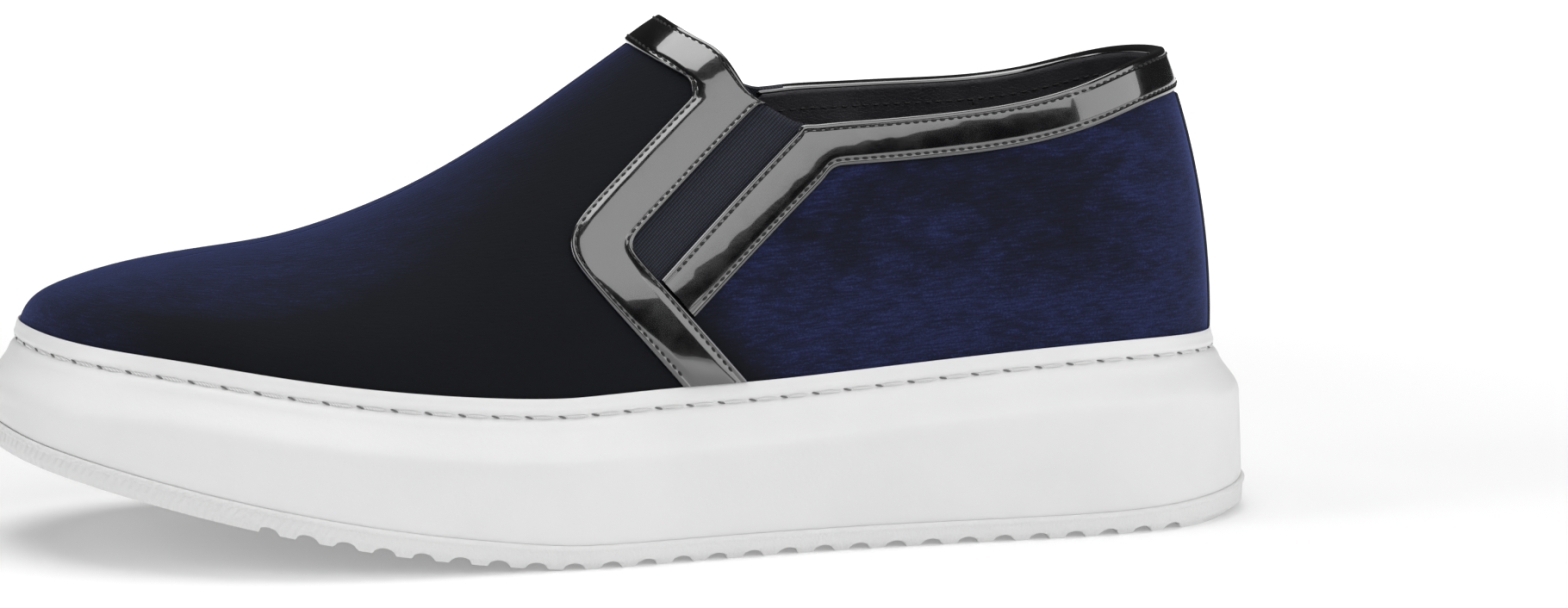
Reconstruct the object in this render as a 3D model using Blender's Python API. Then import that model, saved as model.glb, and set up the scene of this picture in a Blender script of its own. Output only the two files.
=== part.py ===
# Left slip-on sneaker with a thick cupsole, patent trims and elastic gores.
# Metres, +Z up, toe towards -X, outer (lateral) side towards -Y, standing on Z = 0.

from collections import namedtuple

import bmesh
import bpy
import numpy as np
from mathutils import Vector
from mathutils.bvhtree import BVHTree
from mathutils.interpolate import poly_3d_calc

# Last: sizes of the foot form, heights counted from the feather line where upper meets sole
FOOT_LENGTH = 0.258
BALL_WIDTH = 0.0900
HEEL_WIDTH = 0.0585
INSTEP_HEIGHT = 0.0735
COLLAR_HEIGHT = 0.0528
BACK_HEIGHT = 0.0605
MEDIAL_RISE = 0.0028

# Sole
PLATFORM = 0.0400
TOE_SPRING = 0.0224
TOE_SPRING_STARTS = 0.57
TOE_SPRING_POWER = 1.5
SOLE_OUTSET = 0.0071
BAND_HEIGHT = 0.0153
STRIP_HEIGHT = 0.0054
RIDGE_PROUD = 0.0007
EDGE_BEVEL = 0.0008
EDGE_BEVEL_HEIGHT = 0.0021
HEEL_BEVEL = 0.0034
LUG_WIDTH = 0.0046
LUG_DEPTH = 0.0015
LUG_PITCH = 0.0080
LUG_LENGTH = 0.0140
LUGS_FROM = 0.060
LUGS_TO = 0.822
INSOLE_THICKNESS = 0.0040

# Upper, gores and trims
WALL = 0.0022
TUCK = 0.0050
THROAT_AT = 0.467
GORE_THICKNESS = 0.0014
GORE_SUNK = 0.0004
GORE_UNDER_TRIM = 0.0014
TRIM_THICKNESS = 0.0010
LEG_WIDTH = 0.0113
THROAT_BAND = 0.0097
COLLAR_BAND = 0.0096

# Space left between pieces that touch
GAP = 0.0003

# Sections of the last, toe tip first. along, ridge_at: shares of the length from the heel.
# lateral, medial: half widths as shares of the local width. thick: sole, share of the platform.
# strip, flare: outsole edge and sole outset, shares of theirs. rise, lean, reach, drop: the curve
# from feather line to ridge. lean and swell, the inner side's stand over the arch, are shares of
# the ball width, rise and drop of the section's height, reach of its half width.
Section = namedtuple("Section", "along lateral medial thick strip flare ridge_at rise lean swell reach drop")
SECTIONS = (
    Section(1.00, -0.085, 0.085, 0.630, 1.15, 1.00, 0.905, 0.46, -0.022, 0.000, 0.80, 0.00),
    Section(0.98, 0.145, 0.245, 0.653, 1.05, 1.00, 0.897, 0.50, -0.016, 0.000, 0.79, 0.00),
    Section(0.94, 0.290, 0.365, 0.698, 1.00, 0.97, 0.872, 0.54, -0.004, 0.000, 0.75, 0.00),
    Section(0.88, 0.400, 0.445, 0.760, 1.00, 0.93, 0.835, 0.55, 0.006, 0.000, 0.67, 0.00),
    Section(0.82, 0.467, 0.478, 0.797, 1.00, 0.90, 0.790, 0.52, 0.008, 0.000, 0.60, 0.00),
    Section(0.75, 0.505, 0.483, 0.828, 1.00, 0.87, 0.735, 0.50, 0.008, 0.002, 0.60, 0.00),
    Section(0.70, 0.511, 0.467, 0.847, 1.00, 0.87, 0.690, 0.47, 0.006, 0.008, 0.60, 0.00),
    Section(0.62, 0.497, 0.420, 0.870, 0.98, 0.87, 0.615, 0.43, 0.004, 0.024, 0.58, 0.00),
    Section(0.55, 0.482, 0.380, 0.890, 0.94, 0.87, 0.550, 0.40, 0.002, 0.040, 0.56, 0.00),
    Section(0.50, 0.485, 0.370, 0.900, 0.93, 0.87, 0.500, 0.38, 0.000, 0.050, 0.55, 0.00),
    Section(0.45, 0.490, 0.368, 0.905, 0.93, 0.87, 0.455, 0.36, 0.000, 0.054, 0.55, 0.00),
    Section(0.40, 0.500, 0.385, 0.913, 0.93, 0.87, 0.400, 0.35, 0.000, 0.052, 0.60, 0.02),
    Section(0.35, 0.520, 0.415, 0.930, 0.93, 0.87, 0.345, 0.34, 0.006, 0.042, 0.72, 0.06),
    Section(0.25, 0.538, 0.487, 0.975, 0.93, 0.87, 0.270, 0.32, 0.014, 0.014, 0.92, 0.14),
    Section(0.15, 0.505, 0.496, 1.015, 0.93, 0.88, 0.200, 0.30, 0.018, 0.000, 1.00, 0.22),
    Section(0.08, 0.435, 0.435, 1.025, 1.00, 0.93, 0.165, 0.28, 0.014, 0.000, 0.95, 0.28),
    Section(0.03, 0.290, 0.290, 1.012, 1.20, 1.00, 0.145, 0.265, 0.008, 0.000, 0.85, 0.32),
    Section(0.00, 0.000, 0.000, 0.995, 1.39, 1.00, 0.139, 0.263, 0.004, 0.000, 0.81, 0.337),
)
WIDTHS_BLEND_FROM = 0.30
WIDTHS_BLEND_TO = 0.55

# Ridge of the last from heel to toe: height as a share of the instep, across of the ball width.
# Behind the throat it is the cone of the last, which the collar opens.
Ridge = namedtuple("Ridge", "along height across")
RIDGES = (
    Ridge(0.139, 1.350, 0.000),
    Ridge(0.300, 1.270, 0.000),
    Ridge(0.410, 1.120, 0.000),
    Ridge(0.467, 1.000, 0.002),
    Ridge(0.523, 0.868, 0.006),
    Ridge(0.567, 0.765, 0.010),
    Ridge(0.610, 0.663, 0.018),
    Ridge(0.653, 0.561, 0.028),
    Ridge(0.697, 0.467, 0.036),
    Ridge(0.740, 0.388, 0.042),
    Ridge(0.783, 0.322, 0.045),
    Ridge(0.826, 0.272, 0.046),
    Ridge(0.869, 0.226, 0.046),
    Ridge(0.905, 0.188, 0.046),
)

# Edge of the opening from heel to throat, as seen from the side: shares of the back, collar
# and instep heights that add up, and of the extra height that the inner side has.
Edge = namedtuple("Edge", "along back collar instep rise")
TOPLINE = (
    Edge(0.000, 1.00, 0.00, 0.00, 0.0),
    Edge(0.040, 1.00, 0.00, 0.00, 0.0),
    Edge(0.085, 0.60, 0.43, 0.00, -0.5),
    Edge(0.130, 0.25, 0.77, 0.00, -0.5),
    Edge(0.180, 0.00, 1.01, 0.00, -0.1),
    Edge(0.250, 0.00, 0.99, 0.00, 0.5),
    Edge(0.310, 0.00, 0.99, 0.00, 0.8),
    Edge(0.352, 0.00, 0.99, 0.00, 0.9),
    Edge(0.374, 0.00, 1.00, 0.00, 0.8),
    Edge(0.395, 0.00, 0.90, 0.115, 0.5),
    Edge(0.411, 0.00, 0.55, 0.415, 0.2),
    Edge(0.427, 0.00, 0.20, 0.76, 0.0),
    Edge(0.446, 0.00, 0.05, 0.92, 0.0),
    Edge(0.467, 0.00, 0.00, 1.00, 0.0),
)

# Side of the cupsole from the rim down: shares of the band height and of the sole outset
Step = namedtuple("Step", "down out")
CUPSOLE_SIDE = (
    Step(0.000, 0.090),
    Step(0.045, 0.165),
    Step(0.120, 0.190),
    Step(0.205, 0.160),
    Step(0.255, 0.080),
    Step(0.310, 0.220),
    Step(0.420, 0.380),
    Step(0.560, 0.570),
    Step(0.680, 0.770),
    Step(0.810, 0.940),
    Step(1.000, 1.000),
)
WALL_FOOT_OUT = 1.085
WALL_FOOT_HEIGHT = 0.0016

# Edge of the tread strip above its bevel: down from the parting as a share of the strip height,
# out as a share of the ridge. Sides of the insole: up and inset, shares of its thickness.
STRIP_SIDE = (Step(0.30, 0.5), Step(0.12, 1.0), Step(0.00, 0.4))
STRIP_FOOT_OUT = 0.3
Rise = namedtuple("Rise", "up inset")
INSOLE_SIDE = (Rise(0.0, 0.15), Rise(0.2, 0.0), Rise(0.8, 0.0), Rise(1.0, 0.3))

# Flat pads that the shoe stands on: from and to along the length, and how much of its width
Pad = namedtuple("Pad", "rear front share")
PADS = (Pad(0.060, 0.250, 0.60), Pad(0.400, 0.568, 0.64))
PAD_HEIGHT = 0.00025
PAD_SUNK = 0.0012

# Corners of the trims seen from the side: along, and height over the feather line as a share of
# the instep height. Foot and knee lie on the middle of a leg, the others on one of its edges.
Corner = namedtuple("Corner", "along height")
FRONT_FOOT = Corner(0.428, -0.100)
FRONT_KNEE = Corner(0.553, 0.415)
FRONT_LEG_END = Corner(0.430, 0.835)
FRONT_CORNER_OUT = Corner(0.449, 0.790)
FRONT_CORNER_IN = Corner(0.4080, 0.797)
COLLAR_FOOT = Corner(0.500, 0.195)
COLLAR_LEG_END = Corner(0.354, 0.665)
COLLAR_CORNER_OUT = Corner(0.352, 0.560)
COLLAR_CORNER_AT = 0.371
COLLAR_LEG_SHARE = 0.965

# Lengths over which the edges of the trims ease round their corners, knee first
TURN_OUT = (0.0065, 0.0008)
TURN_IN = (0.0017, 0.0026)
TURN_THROAT = 0.0020
COLLAR_TURN = (0.0016, 0.0010)
TURN_HEEL = 0.0010
CORNER_CLEAR = 0.0006

# Fineness of the meshes
FRONT_COLUMNS = 18
THROAT_COLUMNS = 5
REAR_COLUMNS = 16
UPPER_ROWS = 9
TRIM_STEP = 0.0042
EDGE_STEP = 0.0005
LUG_SIDES = 12
LAST_COLUMNS = 320
LAST_ROWS = 72


def cubic_spline(knots, values, period=0.0):
    # Smooth curve through the values, closed when a period is given, else straight past its ends
    knots, values = np.asarray(knots, float), np.asarray(values, float)
    if values.ndim == 1:
        values = values[:, None]
    count = len(knots)
    if period:
        knots = np.append(knots, knots[0] + period)
        values = np.vstack([values, values[:1]])
    step = np.diff(knots)
    slope = np.diff(values, axis=0) / step[:, None]
    size = count if period else count
    matrix, right = np.zeros((size, size)), np.zeros((size, values.shape[1]))
    for i in range(size):
        if not period and i in (0, size - 1):
            matrix[i, i] = 1.0
            continue
        before = (i - 1) % len(step)
        matrix[i, (i - 1) % size] += step[before]
        matrix[i, i] += 2.0 * (step[before] + step[i])
        matrix[i, (i + 1) % size] += step[i]
        right[i] = 6.0 * (slope[i] - slope[before])
    bend = np.linalg.solve(matrix, right)
    if period:
        bend = np.vstack([bend, bend[:1]])

    def evaluate(at):
        at = np.atleast_1d(np.asarray(at, float))
        inside = (at - knots[0]) % period + knots[0] if period else np.clip(at, knots[0], knots[-1])
        i = np.clip(np.searchsorted(knots, inside, side="right") - 1, 0, len(step) - 1)
        a = (inside - knots[i])[:, None]
        b = step[i][:, None] - a
        curve = (bend[i] * b ** 3 + bend[i + 1] * a ** 3) / (6.0 * step[i][:, None])
        line = (values[i] * b + values[i + 1] * a) / step[i][:, None]
        pull = (bend[i] * b + bend[i + 1] * a) * step[i][:, None] / 6.0
        past = (at - inside)[:, None]
        end = np.where(past < 0, slope[0] - step[0] * bend[1] / 6.0, slope[-1] + step[-1] * bend[-2] / 6.0)
        return curve + line - pull + (0.0 if period else past * end)

    return evaluate


def toe_spring(along):
    share = np.clip((np.asarray(along) - TOE_SPRING_STARTS) / (1.0 - TOE_SPRING_STARTS), 0.0, None)
    return TOE_SPRING * share ** TOE_SPRING_POWER


def local_width(along):
    mix = np.clip((along - WIDTHS_BLEND_FROM) / (WIDTHS_BLEND_TO - WIDTHS_BLEND_FROM), 0.0, 1.0)
    return HEEL_WIDTH + (BALL_WIDTH - HEEL_WIDTH) * mix


def side_x(along):
    return HEEL_X - FOOT_LENGTH * np.asarray(along)


def side_along(x):
    return (HEEL_X - x) / FOOT_LENGTH


def loop_rows():
    # The sections as a closed loop: outer side from toe to heel, then the inner side back
    outer = [(s, -s.lateral * local_width(s.along), 0.0) for s in SECTIONS]
    inner = [(s, s.medial * local_width(s.along), s.swell) for s in SECTIONS]
    chords = [0.0]
    for i in range(1, len(SECTIONS)):
        run = FOOT_LENGTH * (SECTIONS[i - 1].along - SECTIONS[i].along)
        sides = [np.hypot(run, side[i][1] - side[i - 1][1]) for side in (outer, inner)]
        chords.append(chords[-1] + sum(sides) / 2.0)
    places = [c / chords[-1] for c in chords]
    back = list(range(len(SECTIONS) - 2, 0, -1))
    knots = places + [2.0 - places[i] for i in back]
    rows = outer + [inner[i] for i in back]
    values = [(s.along, y, s.thick, s.strip, s.flare, s.ridge_at, s.rise, s.lean, swell, s.reach, s.drop)
              for s, y, swell in rows]
    return knots, values


HEEL_X = FOOT_LENGTH / 2.0
loop_curve = cubic_spline(*loop_rows(), period=2.0)
thick_curve = cubic_spline([s.along for s in SECTIONS[::-1]], [s.thick for s in SECTIONS[::-1]])
side_curve = cubic_spline([s.along for s in SECTIONS[::-1]], [(s.lateral, s.medial) for s in SECTIONS[::-1]])
ridge_curve = cubic_spline([r.along for r in RIDGES], [(r.height, r.across) for r in RIDGES])
edge_curve = cubic_spline([e.along for e in TOPLINE],
                          [(e.back * BACK_HEIGHT + e.collar * COLLAR_HEIGHT + e.instep * INSTEP_HEIGHT,
                            e.rise * MEDIAL_RISE) for e in TOPLINE])


def feather_height(along):
    return toe_spring(along) + PLATFORM * thick_curve(along)[:, 0]


def ridge_point(along):
    height, across = ridge_curve(along).T
    z = feather_height(along) + INSTEP_HEIGHT * height
    return np.stack([side_x(along), BALL_WIDTH * across, z], axis=1)


def edge_height(x, inner):
    along = side_along(np.atleast_1d(x))
    height, rise = edge_curve(along).T
    return feather_height(along) + height + np.where(inner, rise, 0.0)


def outline(places):
    # Feather line and its outward direction in plan
    places = np.atleast_1d(np.asarray(places, float))
    near = 1e-4
    row = loop_curve(places)
    ahead, behind = loop_curve(places + near), loop_curve(places - near)
    run = np.stack([side_x(ahead[:, 0]) - side_x(behind[:, 0]), ahead[:, 1] - behind[:, 1]], axis=1)
    out = np.stack([run[:, 1], -run[:, 0], np.zeros(len(places))], axis=1)
    out /= np.linalg.norm(out, axis=1)[:, None]
    foot = np.stack([side_x(row[:, 0]), row[:, 1],
                     toe_spring(row[:, 0]) + PLATFORM * row[:, 2]], axis=1)
    return row, foot, out


def columns(places):
    # Four control points of each column of the last, from the feather line up to the ridge
    row, foot, out = outline(places)
    top = ridge_point(row[:, 5])
    near = 1e-3
    slope = (ridge_point(row[:, 5] - near)[:, 2] - ridge_point(row[:, 5] + near)[:, 2])
    slope /= 2.0 * near * FOOT_LENGTH
    height = (top - foot)[:, 2]
    low = foot + out * ((row[:, 7] + row[:, 8]) * BALL_WIDTH)[:, None]
    low[:, 2] += row[:, 6] * height
    high = top + row[:, 9][:, None] * (foot - top) + out * (row[:, 8] * BALL_WIDTH)[:, None]
    high[:, 2] = top[:, 2] + slope * (high - top)[:, 0] - row[:, 10] * height
    return foot, low, high, top


def on_columns(controls, shares):
    v = np.asarray(shares, float)[:, None]
    foot, low, high, top = controls
    return (foot * (1 - v) ** 3 + 3 * low * v * (1 - v) ** 2 + 3 * high * v ** 2 * (1 - v) + top * v ** 3)


def throat_place():
    # Where the ridge ends, on the outer side's loop
    low, high = 0.0, 1.0
    for _ in range(40):
        middle = (low + high) / 2.0
        if loop_curve(middle)[0, 5] > THROAT_AT:
            low = middle
        else:
            high = middle
    return high


def top_shares(places):
    # How far up each column the edge of the opening lies: 1 where the vamp closes over the ridge
    controls = columns(places)
    throat = throat_place()
    shares = np.ones(len(places))
    samples = np.linspace(0.15, 1.0, 341)
    for i, place in enumerate(places):
        if min(place % 2.0, 2.0 - place % 2.0) <= throat + 1e-9:
            continue
        one = tuple(np.repeat(c[i:i + 1], len(samples), axis=0) for c in controls)
        points = on_columns(one, samples)
        over = points[:, 2] - edge_height(points[:, 0], place % 2.0 > 1.0)
        k = int(np.argmax(over > 0.0))
        mix = over[k - 1] / (over[k - 1] - over[k])
        shares[i] = samples[k - 1] + (samples[k] - samples[k - 1]) * mix
    return shares


def ring_places(with_throat=True):
    # Places of the columns round the whole loop, each outer one paired with an inner one
    throat = throat_place()
    step = (1.0 - throat) / REAR_COLUMNS
    side = [throat * (i / FRONT_COLUMNS) ** 1.08 for i in range(FRONT_COLUMNS + 1)]
    if with_throat:
        side += [throat + step * (i / THROAT_COLUMNS) ** 2 for i in range(1, THROAT_COLUMNS)]
    side += [throat + step * i for i in range(1, REAR_COLUMNS + 1)]
    return np.array(side + [2.0 - place for place in side[-2:0:-1]])


def remove_scene_objects():
    for item in list(bpy.data.objects):
        bpy.data.objects.remove(item, do_unlink=True)


def material(name, colour, roughness, coat=0.0):
    finish = bpy.data.materials.new(name)
    finish.use_nodes = True
    finish.diffuse_color = (*colour, 1.0)
    shader = finish.node_tree.nodes["Principled BSDF"]
    shader.inputs["Base Color"].default_value = (*colour, 1.0)
    shader.inputs["Roughness"].default_value = roughness
    shader.inputs["Metallic"].default_value = 0.0
    shader.inputs["Coat Weight"].default_value = coat
    return finish


def place_object(name, points, faces, finish, centre):
    mesh = bpy.data.meshes.new(name)
    mesh.from_pydata([tuple(np.asarray(p) - centre) for p in points], [], faces)
    form = bmesh.new()
    form.from_mesh(mesh)
    bmesh.ops.remove_doubles(form, verts=form.verts[:], dist=1e-6)
    bmesh.ops.recalc_face_normals(form, faces=form.faces[:])
    bmesh.ops.connect_verts_nonplanar(form, angle_limit=1e-4, faces=form.faces[:])
    form.to_mesh(mesh)
    form.free()
    mesh.materials.append(finish)
    mesh.shade_smooth()
    mesh.set_sharp_from_angle(angle=np.radians(35.0))
    item = bpy.data.objects.new(name, mesh)
    bpy.context.scene.collection.objects.link(item)
    return item


def make_guide(item):
    item.hide_render = True
    item.display_type = "WIRE"


def combine(item, other, operation):
    make_guide(other)
    boolean = item.modifiers.new(other.name, "BOOLEAN")
    boolean.operation = operation
    boolean.solver = "EXACT"
    boolean.object = other


def grid_faces(rows, count, closed):
    # Quads between rings of points that follow one another
    faces = []
    for r in range(rows - 1):
        for i in range(count if closed else count - 1):
            j = (i + 1) % count
            faces.append((r * count + i, r * count + j, (r + 1) * count + j, (r + 1) * count + i))
    return faces


def ladder_faces(start, count):
    # Rungs across a ring whose outer and inner points are paired
    faces = [(start, start + 1, start + count - 1)]
    half = count // 2
    for i in range(1, half - 1):
        faces.append((start + i, start + i + 1, start + count - i - 1, start + count - i))
    faces.append((start + half - 1, start + half, start + half + 1))
    return faces


def ringed_solid(rings):
    # Closed solid of rings one after another, its first and last ring each filled across
    count = len(rings[0])
    points = [tuple(p) for ring in rings for p in ring]
    faces = grid_faces(len(rings), count, True)
    faces += ladder_faces(0, count) + ladder_faces((len(rings) - 1) * count, count)
    return points, faces


def sole_ring(places, out, height):
    # One ring of the sole: out from the feather line, at a height or where a height's curve runs
    foot, outward = outline(places)[1:]
    ring = foot + outward * np.broadcast_to(out, len(places))[:, None]
    ring[:, 2] = height(side_along(ring[:, 0])) if callable(height) else height
    return ring


def heel_share(places):
    # 1 at the heel's back, fading to 0 along its sides
    x = outline(places)[1][:, 0]
    return np.clip(1.0 - side_along(x) / 0.05, 0.0, 1.0)


def outsole_rings(places):
    row = outline(places)[0]
    bottom = toe_spring(row[:, 0]) + PAD_HEIGHT
    parting = toe_spring(row[:, 0]) + STRIP_HEIGHT * row[:, 3]
    out = SOLE_OUTSET * row[:, 4] * WALL_FOOT_OUT
    bevel = EDGE_BEVEL + (HEEL_BEVEL - EDGE_BEVEL) * heel_share(places)
    rings = [sole_ring(places, out - bevel, bottom)]
    rings.append(sole_ring(places, out + RIDGE_PROUD * STRIP_FOOT_OUT, bottom + EDGE_BEVEL_HEIGHT))
    for step in STRIP_SIDE:
        rings.append(sole_ring(places, out + RIDGE_PROUD * step.out, parting - STRIP_HEIGHT * step.down))
    return rings


def cupsole_rings(places):
    row, foot, _ = outline(places)
    parting = toe_spring(row[:, 0]) + STRIP_HEIGHT * row[:, 3]
    out = SOLE_OUTSET * row[:, 4]
    rings = [sole_ring(places, GAP, lambda along: feather_height(along) - TUCK - GAP)]
    rings.append(sole_ring(places, GAP, foot[:, 2] - 0.4 * GAP))
    for step in CUPSOLE_SIDE:
        rings.append(sole_ring(places, out * step.out, foot[:, 2] - BAND_HEIGHT * step.down))
    rings.append(sole_ring(places, out * WALL_FOOT_OUT, parting + GAP + WALL_FOOT_HEIGHT))
    rings.append(sole_ring(places, out * WALL_FOOT_OUT - 0.4 * RIDGE_PROUD, parting + GAP))
    return rings


def insole_rings(places):
    inset = -(WALL + GAP)
    rings = []
    for side in INSOLE_SIDE:
        height = side.up * INSOLE_THICKNESS - TUCK
        rings.append(sole_ring(places, inset - side.inset * INSOLE_THICKNESS,
                               lambda along, height=height: feather_height(along) + height))
    return rings


def standing_pads():
    # One block under the heel and one under the forefoot, both down to the floor
    points, faces = [], []
    for pad in PADS:
        base = len(points)
        for z in (0.0, PAD_HEIGHT + PAD_SUNK):
            for along, side in ((pad.rear, 0), (pad.rear, 1), (pad.front, 1), (pad.front, 0)):
                reach = side_curve(along)[0, side] * local_width(along) * pad.share
                points.append((side_x(along), reach if side else -reach, z))
        faces += [tuple(base + i for i in face) for face in
                  ((0, 1, 2, 3), (4, 5, 6, 7), (0, 1, 5, 4), (1, 2, 6, 5), (2, 3, 7, 6), (3, 0, 4, 7))]
    return points, faces


def lug_cutters():
    # Half-round notches along both edges of the outsole, square to its outline
    spots = np.linspace(0.0, 2.0, 4001)
    row, _, outward = outline(spots)
    edge = sole_ring(spots, SOLE_OUTSET * row[:, 4], toe_spring(row[:, 0]))
    run = np.concatenate([[0.0], np.cumsum(np.linalg.norm(np.diff(edge[:, :2], axis=0), axis=1))])
    points, faces = [], []
    for distance in np.arange(LUG_PITCH / 2.0, run[-1], LUG_PITCH):
        i = int(np.searchsorted(run, distance))
        if not LUGS_FROM <= row[i, 0] <= LUGS_TO:
            continue
        direction = outward[i]
        along = np.array([-direction[1], direction[0], 0.0])
        rise = np.gradient(edge[:, 2], run)[i]
        along = along / np.linalg.norm(along)
        forward = np.array([edge[i, 0] - edge[i - 1, 0], edge[i, 1] - edge[i - 1, 1], 0.0])
        slant = np.array([0.0, 0.0, rise if np.dot(forward, along) > 0 else -rise])
        along = (along + slant) / np.linalg.norm(along + slant)
        up = np.cross(along, direction)
        up = up if up[2] > 0 else -up
        base = len(points)
        for reach in (3.0 * EDGE_BEVEL_HEIGHT, -LUG_LENGTH):
            for k in range(LUG_SIDES):
                turn = 2.0 * np.pi * (k + 0.5) / LUG_SIDES
                point = (edge[i] + direction * reach + along * np.cos(turn) * LUG_WIDTH / 2.0
                         + up * np.sin(turn) * LUG_DEPTH)
                points.append(point)
        faces.append(tuple(base + k for k in range(LUG_SIDES)))
        faces.append(tuple(base + LUG_SIDES + k for k in range(LUG_SIDES)))
        for k in range(LUG_SIDES):
            j = (k + 1) % LUG_SIDES
            faces.append((base + k, base + j, base + LUG_SIDES + j, base + LUG_SIDES + k))
    return points, faces


def upper_sheet(places):
    # The upper's outer face: a tucked row under the feather line, then rows up to the edge
    controls = columns(places)
    tops = top_shares(places)
    tucked = controls[0] - np.array([0.0, 0.0, TUCK])
    rows = [tucked] + [on_columns(controls, tops * k / UPPER_ROWS) for k in range(UPPER_ROWS + 1)]
    points = [tuple(p) for row in rows for p in row]
    return points, grid_faces(len(rows), len(places), True)


class LastSurface:
    # The last as a fine sheet, for laying strips and panels on it
    def __init__(self):
        places = np.linspace(0.0, 2.0, LAST_COLUMNS, endpoint=False)
        controls = columns(places)
        below = [controls[0] - np.array([0.0, 0.0, 3.0 * TUCK])]
        shares = np.linspace(0.0, 1.0, LAST_ROWS)
        sheet = below + [on_columns(controls, np.full(LAST_COLUMNS, share)) for share in shares]
        self.faces = grid_faces(len(sheet), LAST_COLUMNS, True)
        grid = np.array(sheet)
        around = np.roll(grid, -1, axis=1) - np.roll(grid, 1, axis=1)
        upward = np.gradient(grid, axis=0)
        normals = np.cross(around, upward)
        lengths = np.linalg.norm(normals, axis=2, keepdims=True)
        normals = normals / np.maximum(lengths, 1e-12)
        self.points = [Vector(p) for p in grid.reshape(-1, 3)]
        self.normals = [Vector(n) for n in normals.reshape(-1, 3)]
        self.tree = BVHTree.FromPolygons(self.points, self.faces)

    def smooth_normal(self, spot, index):
        corners = self.faces[index]
        shares = poly_3d_calc([self.points[c] for c in corners], spot)
        normal = Vector((0.0, 0.0, 0.0))
        for share, corner in zip(shares, corners):
            normal += share * self.normals[corner]
        return normal.normalized()

    def nearest(self, point):
        spot, _, index, _ = self.tree.find_nearest(Vector(point))
        return spot, self.smooth_normal(spot, index)

    def from_side(self, x, z, inner):
        # The surface as seen along Y from the outer or the inner side
        start = 2.0 * BALL_WIDTH if inner else -2.0 * BALL_WIDTH
        ray = Vector((0.0, -1.0 if inner else 1.0, 0.0))
        spot, _, index, _ = self.tree.ray_cast(Vector((x, start, z)), ray)
        return spot, self.smooth_normal(spot, index)


def corner_point(corner):
    x = float(side_x(corner.along))
    return np.array([x, float(feather_height(np.array([corner.along]))[0]) + corner.height * INSTEP_HEIGHT])


def side_run(last, start, end, inner):
    # Points every millimetre on a straight line seen from the side
    count = max(2, int(np.linalg.norm(end - start) / 0.001))
    return [last.from_side(*(start + (end - start) * k / count), inner)[0] for k in range(count + 1)]


def open_edge(last, first, second, inner, inset=0.0):
    # Edge of the opening on one side between two along shares, from heel to throat, moved onto
    # the upper by an inset
    places = np.linspace(1.0, throat_place(), 500)
    places = 2.0 - places if inner else places
    edge = on_columns(columns(places), top_shares(places))
    along = side_along(edge[:, 0])
    run = np.gradient(edge, axis=0)
    points = []
    for spot, direction in zip(edge[(along >= first) & (along <= second)],
                               run[(along >= first) & (along <= second)]):
        across = np.cross(np.array(last.nearest(spot)[1]), direction)
        across *= (-1.0 if inner else 1.0) / np.linalg.norm(across)
        for _ in range(4 if inset else 1):
            spot = np.array(last.nearest(spot + across * inset / 4.0)[0])
        points.append(Vector(spot))
    return points


def eased_edge(last, runs, turns):
    # One long edge of a strip in even steps, each corner between its runs eased over a turn.
    # Gives the points and the index of each corner.
    points, corners = [], [0]
    for run in runs:
        line = np.array([tuple(p) for p in run])
        length = np.concatenate([[0.0], np.cumsum(np.linalg.norm(np.diff(line, axis=0), axis=1))])
        count = max(4, int(round(length[-1] / EDGE_STEP)))
        at = np.linspace(0.0, length[-1], count + 1)[:-1]
        points.append(np.stack([np.interp(at, length, line[:, k]) for k in range(3)], axis=1))
        corners.append(corners[-1] + count)
    points = np.vstack(points + [np.array([tuple(runs[-1][-1])])])
    eased = points.copy()
    for corner, turn in zip(corners[1:-1], turns):
        reach = int(3.0 * turn / EDGE_STEP)
        weights = np.exp(-0.5 * (np.arange(-reach, reach + 1) * EDGE_STEP / turn) ** 2)
        weights /= weights.sum()
        for i in range(corner - reach, corner + reach + 1):
            fade = min(1.0, (reach + 1 - abs(i - corner)) / (0.4 * reach))
            window = np.clip(np.arange(i - reach, i + reach + 1), 0, len(points) - 1)
            eased[i] += fade * (weights @ points[window] - points[i])
    return [last.nearest(p)[0] for p in eased], corners


def strip_solid(last, outer, inner, clear):
    # A strip laid on the last between two edges, both ends trimmed where clear says so
    shares = (0.0, 0.25, 0.5, 0.75, 1.0)

    def spot(run, at, share):
        ends = []
        for points, corners in (outer, inner):
            i = corners[run] + at * (corners[run + 1] - corners[run])
            k = min(int(i), len(points) - 2)
            ends.append(points[k].lerp(points[k + 1], i - k))
        return last.nearest(ends[0].lerp(ends[1], share))

    last_run = len(outer[1]) - 2
    scan = np.linspace(0.0, 0.8, 321)
    starts = [next(q for q in scan if clear(spot(0, q, share)[0])) for share in shares]
    stops = [next(q for q in scan if clear(spot(last_run, 1.0 - q, share)[0])) for share in shares]
    under, over, rows = [], [], 0
    for run in range(last_run + 1):
        length = max(e[1][run + 1] - e[1][run] for e in (outer, inner)) * EDGE_STEP
        count = max(3, int(round(length / TRIM_STEP)))
        for j in range(count + (1 if run == last_run else 0)):
            for start, stop, share in zip(starts, stops, shares):
                at = j / count
                if run == 0:
                    at = start + (1.0 - start) * at
                if run == last_run:
                    at = at * (1.0 - stop)
                point, normal = spot(run, at, share)
                under.append(point + normal * GAP)
                over.append(point + normal * (GAP + TRIM_THICKNESS))
            rows += 1
    return slab(under, over, rows, len(shares))


def slab(under, over, rows, count):
    # Closed solid between two grids of points
    size = rows * count
    faces = grid_faces(rows, count, False)
    faces += [tuple(size + i for i in face) for face in grid_faces(rows, count, False)]
    border = [i for i in range(count)] + [r * count + count - 1 for r in range(1, rows)]
    border += [(rows - 1) * count + i for i in range(count - 2, -1, -1)]
    border += [r * count for r in range(rows - 2, 0, -1)]
    for i, start in enumerate(border):
        end = border[(i + 1) % len(border)]
        faces.append((start, end, size + end, size + start))
    return under + over, faces


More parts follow.
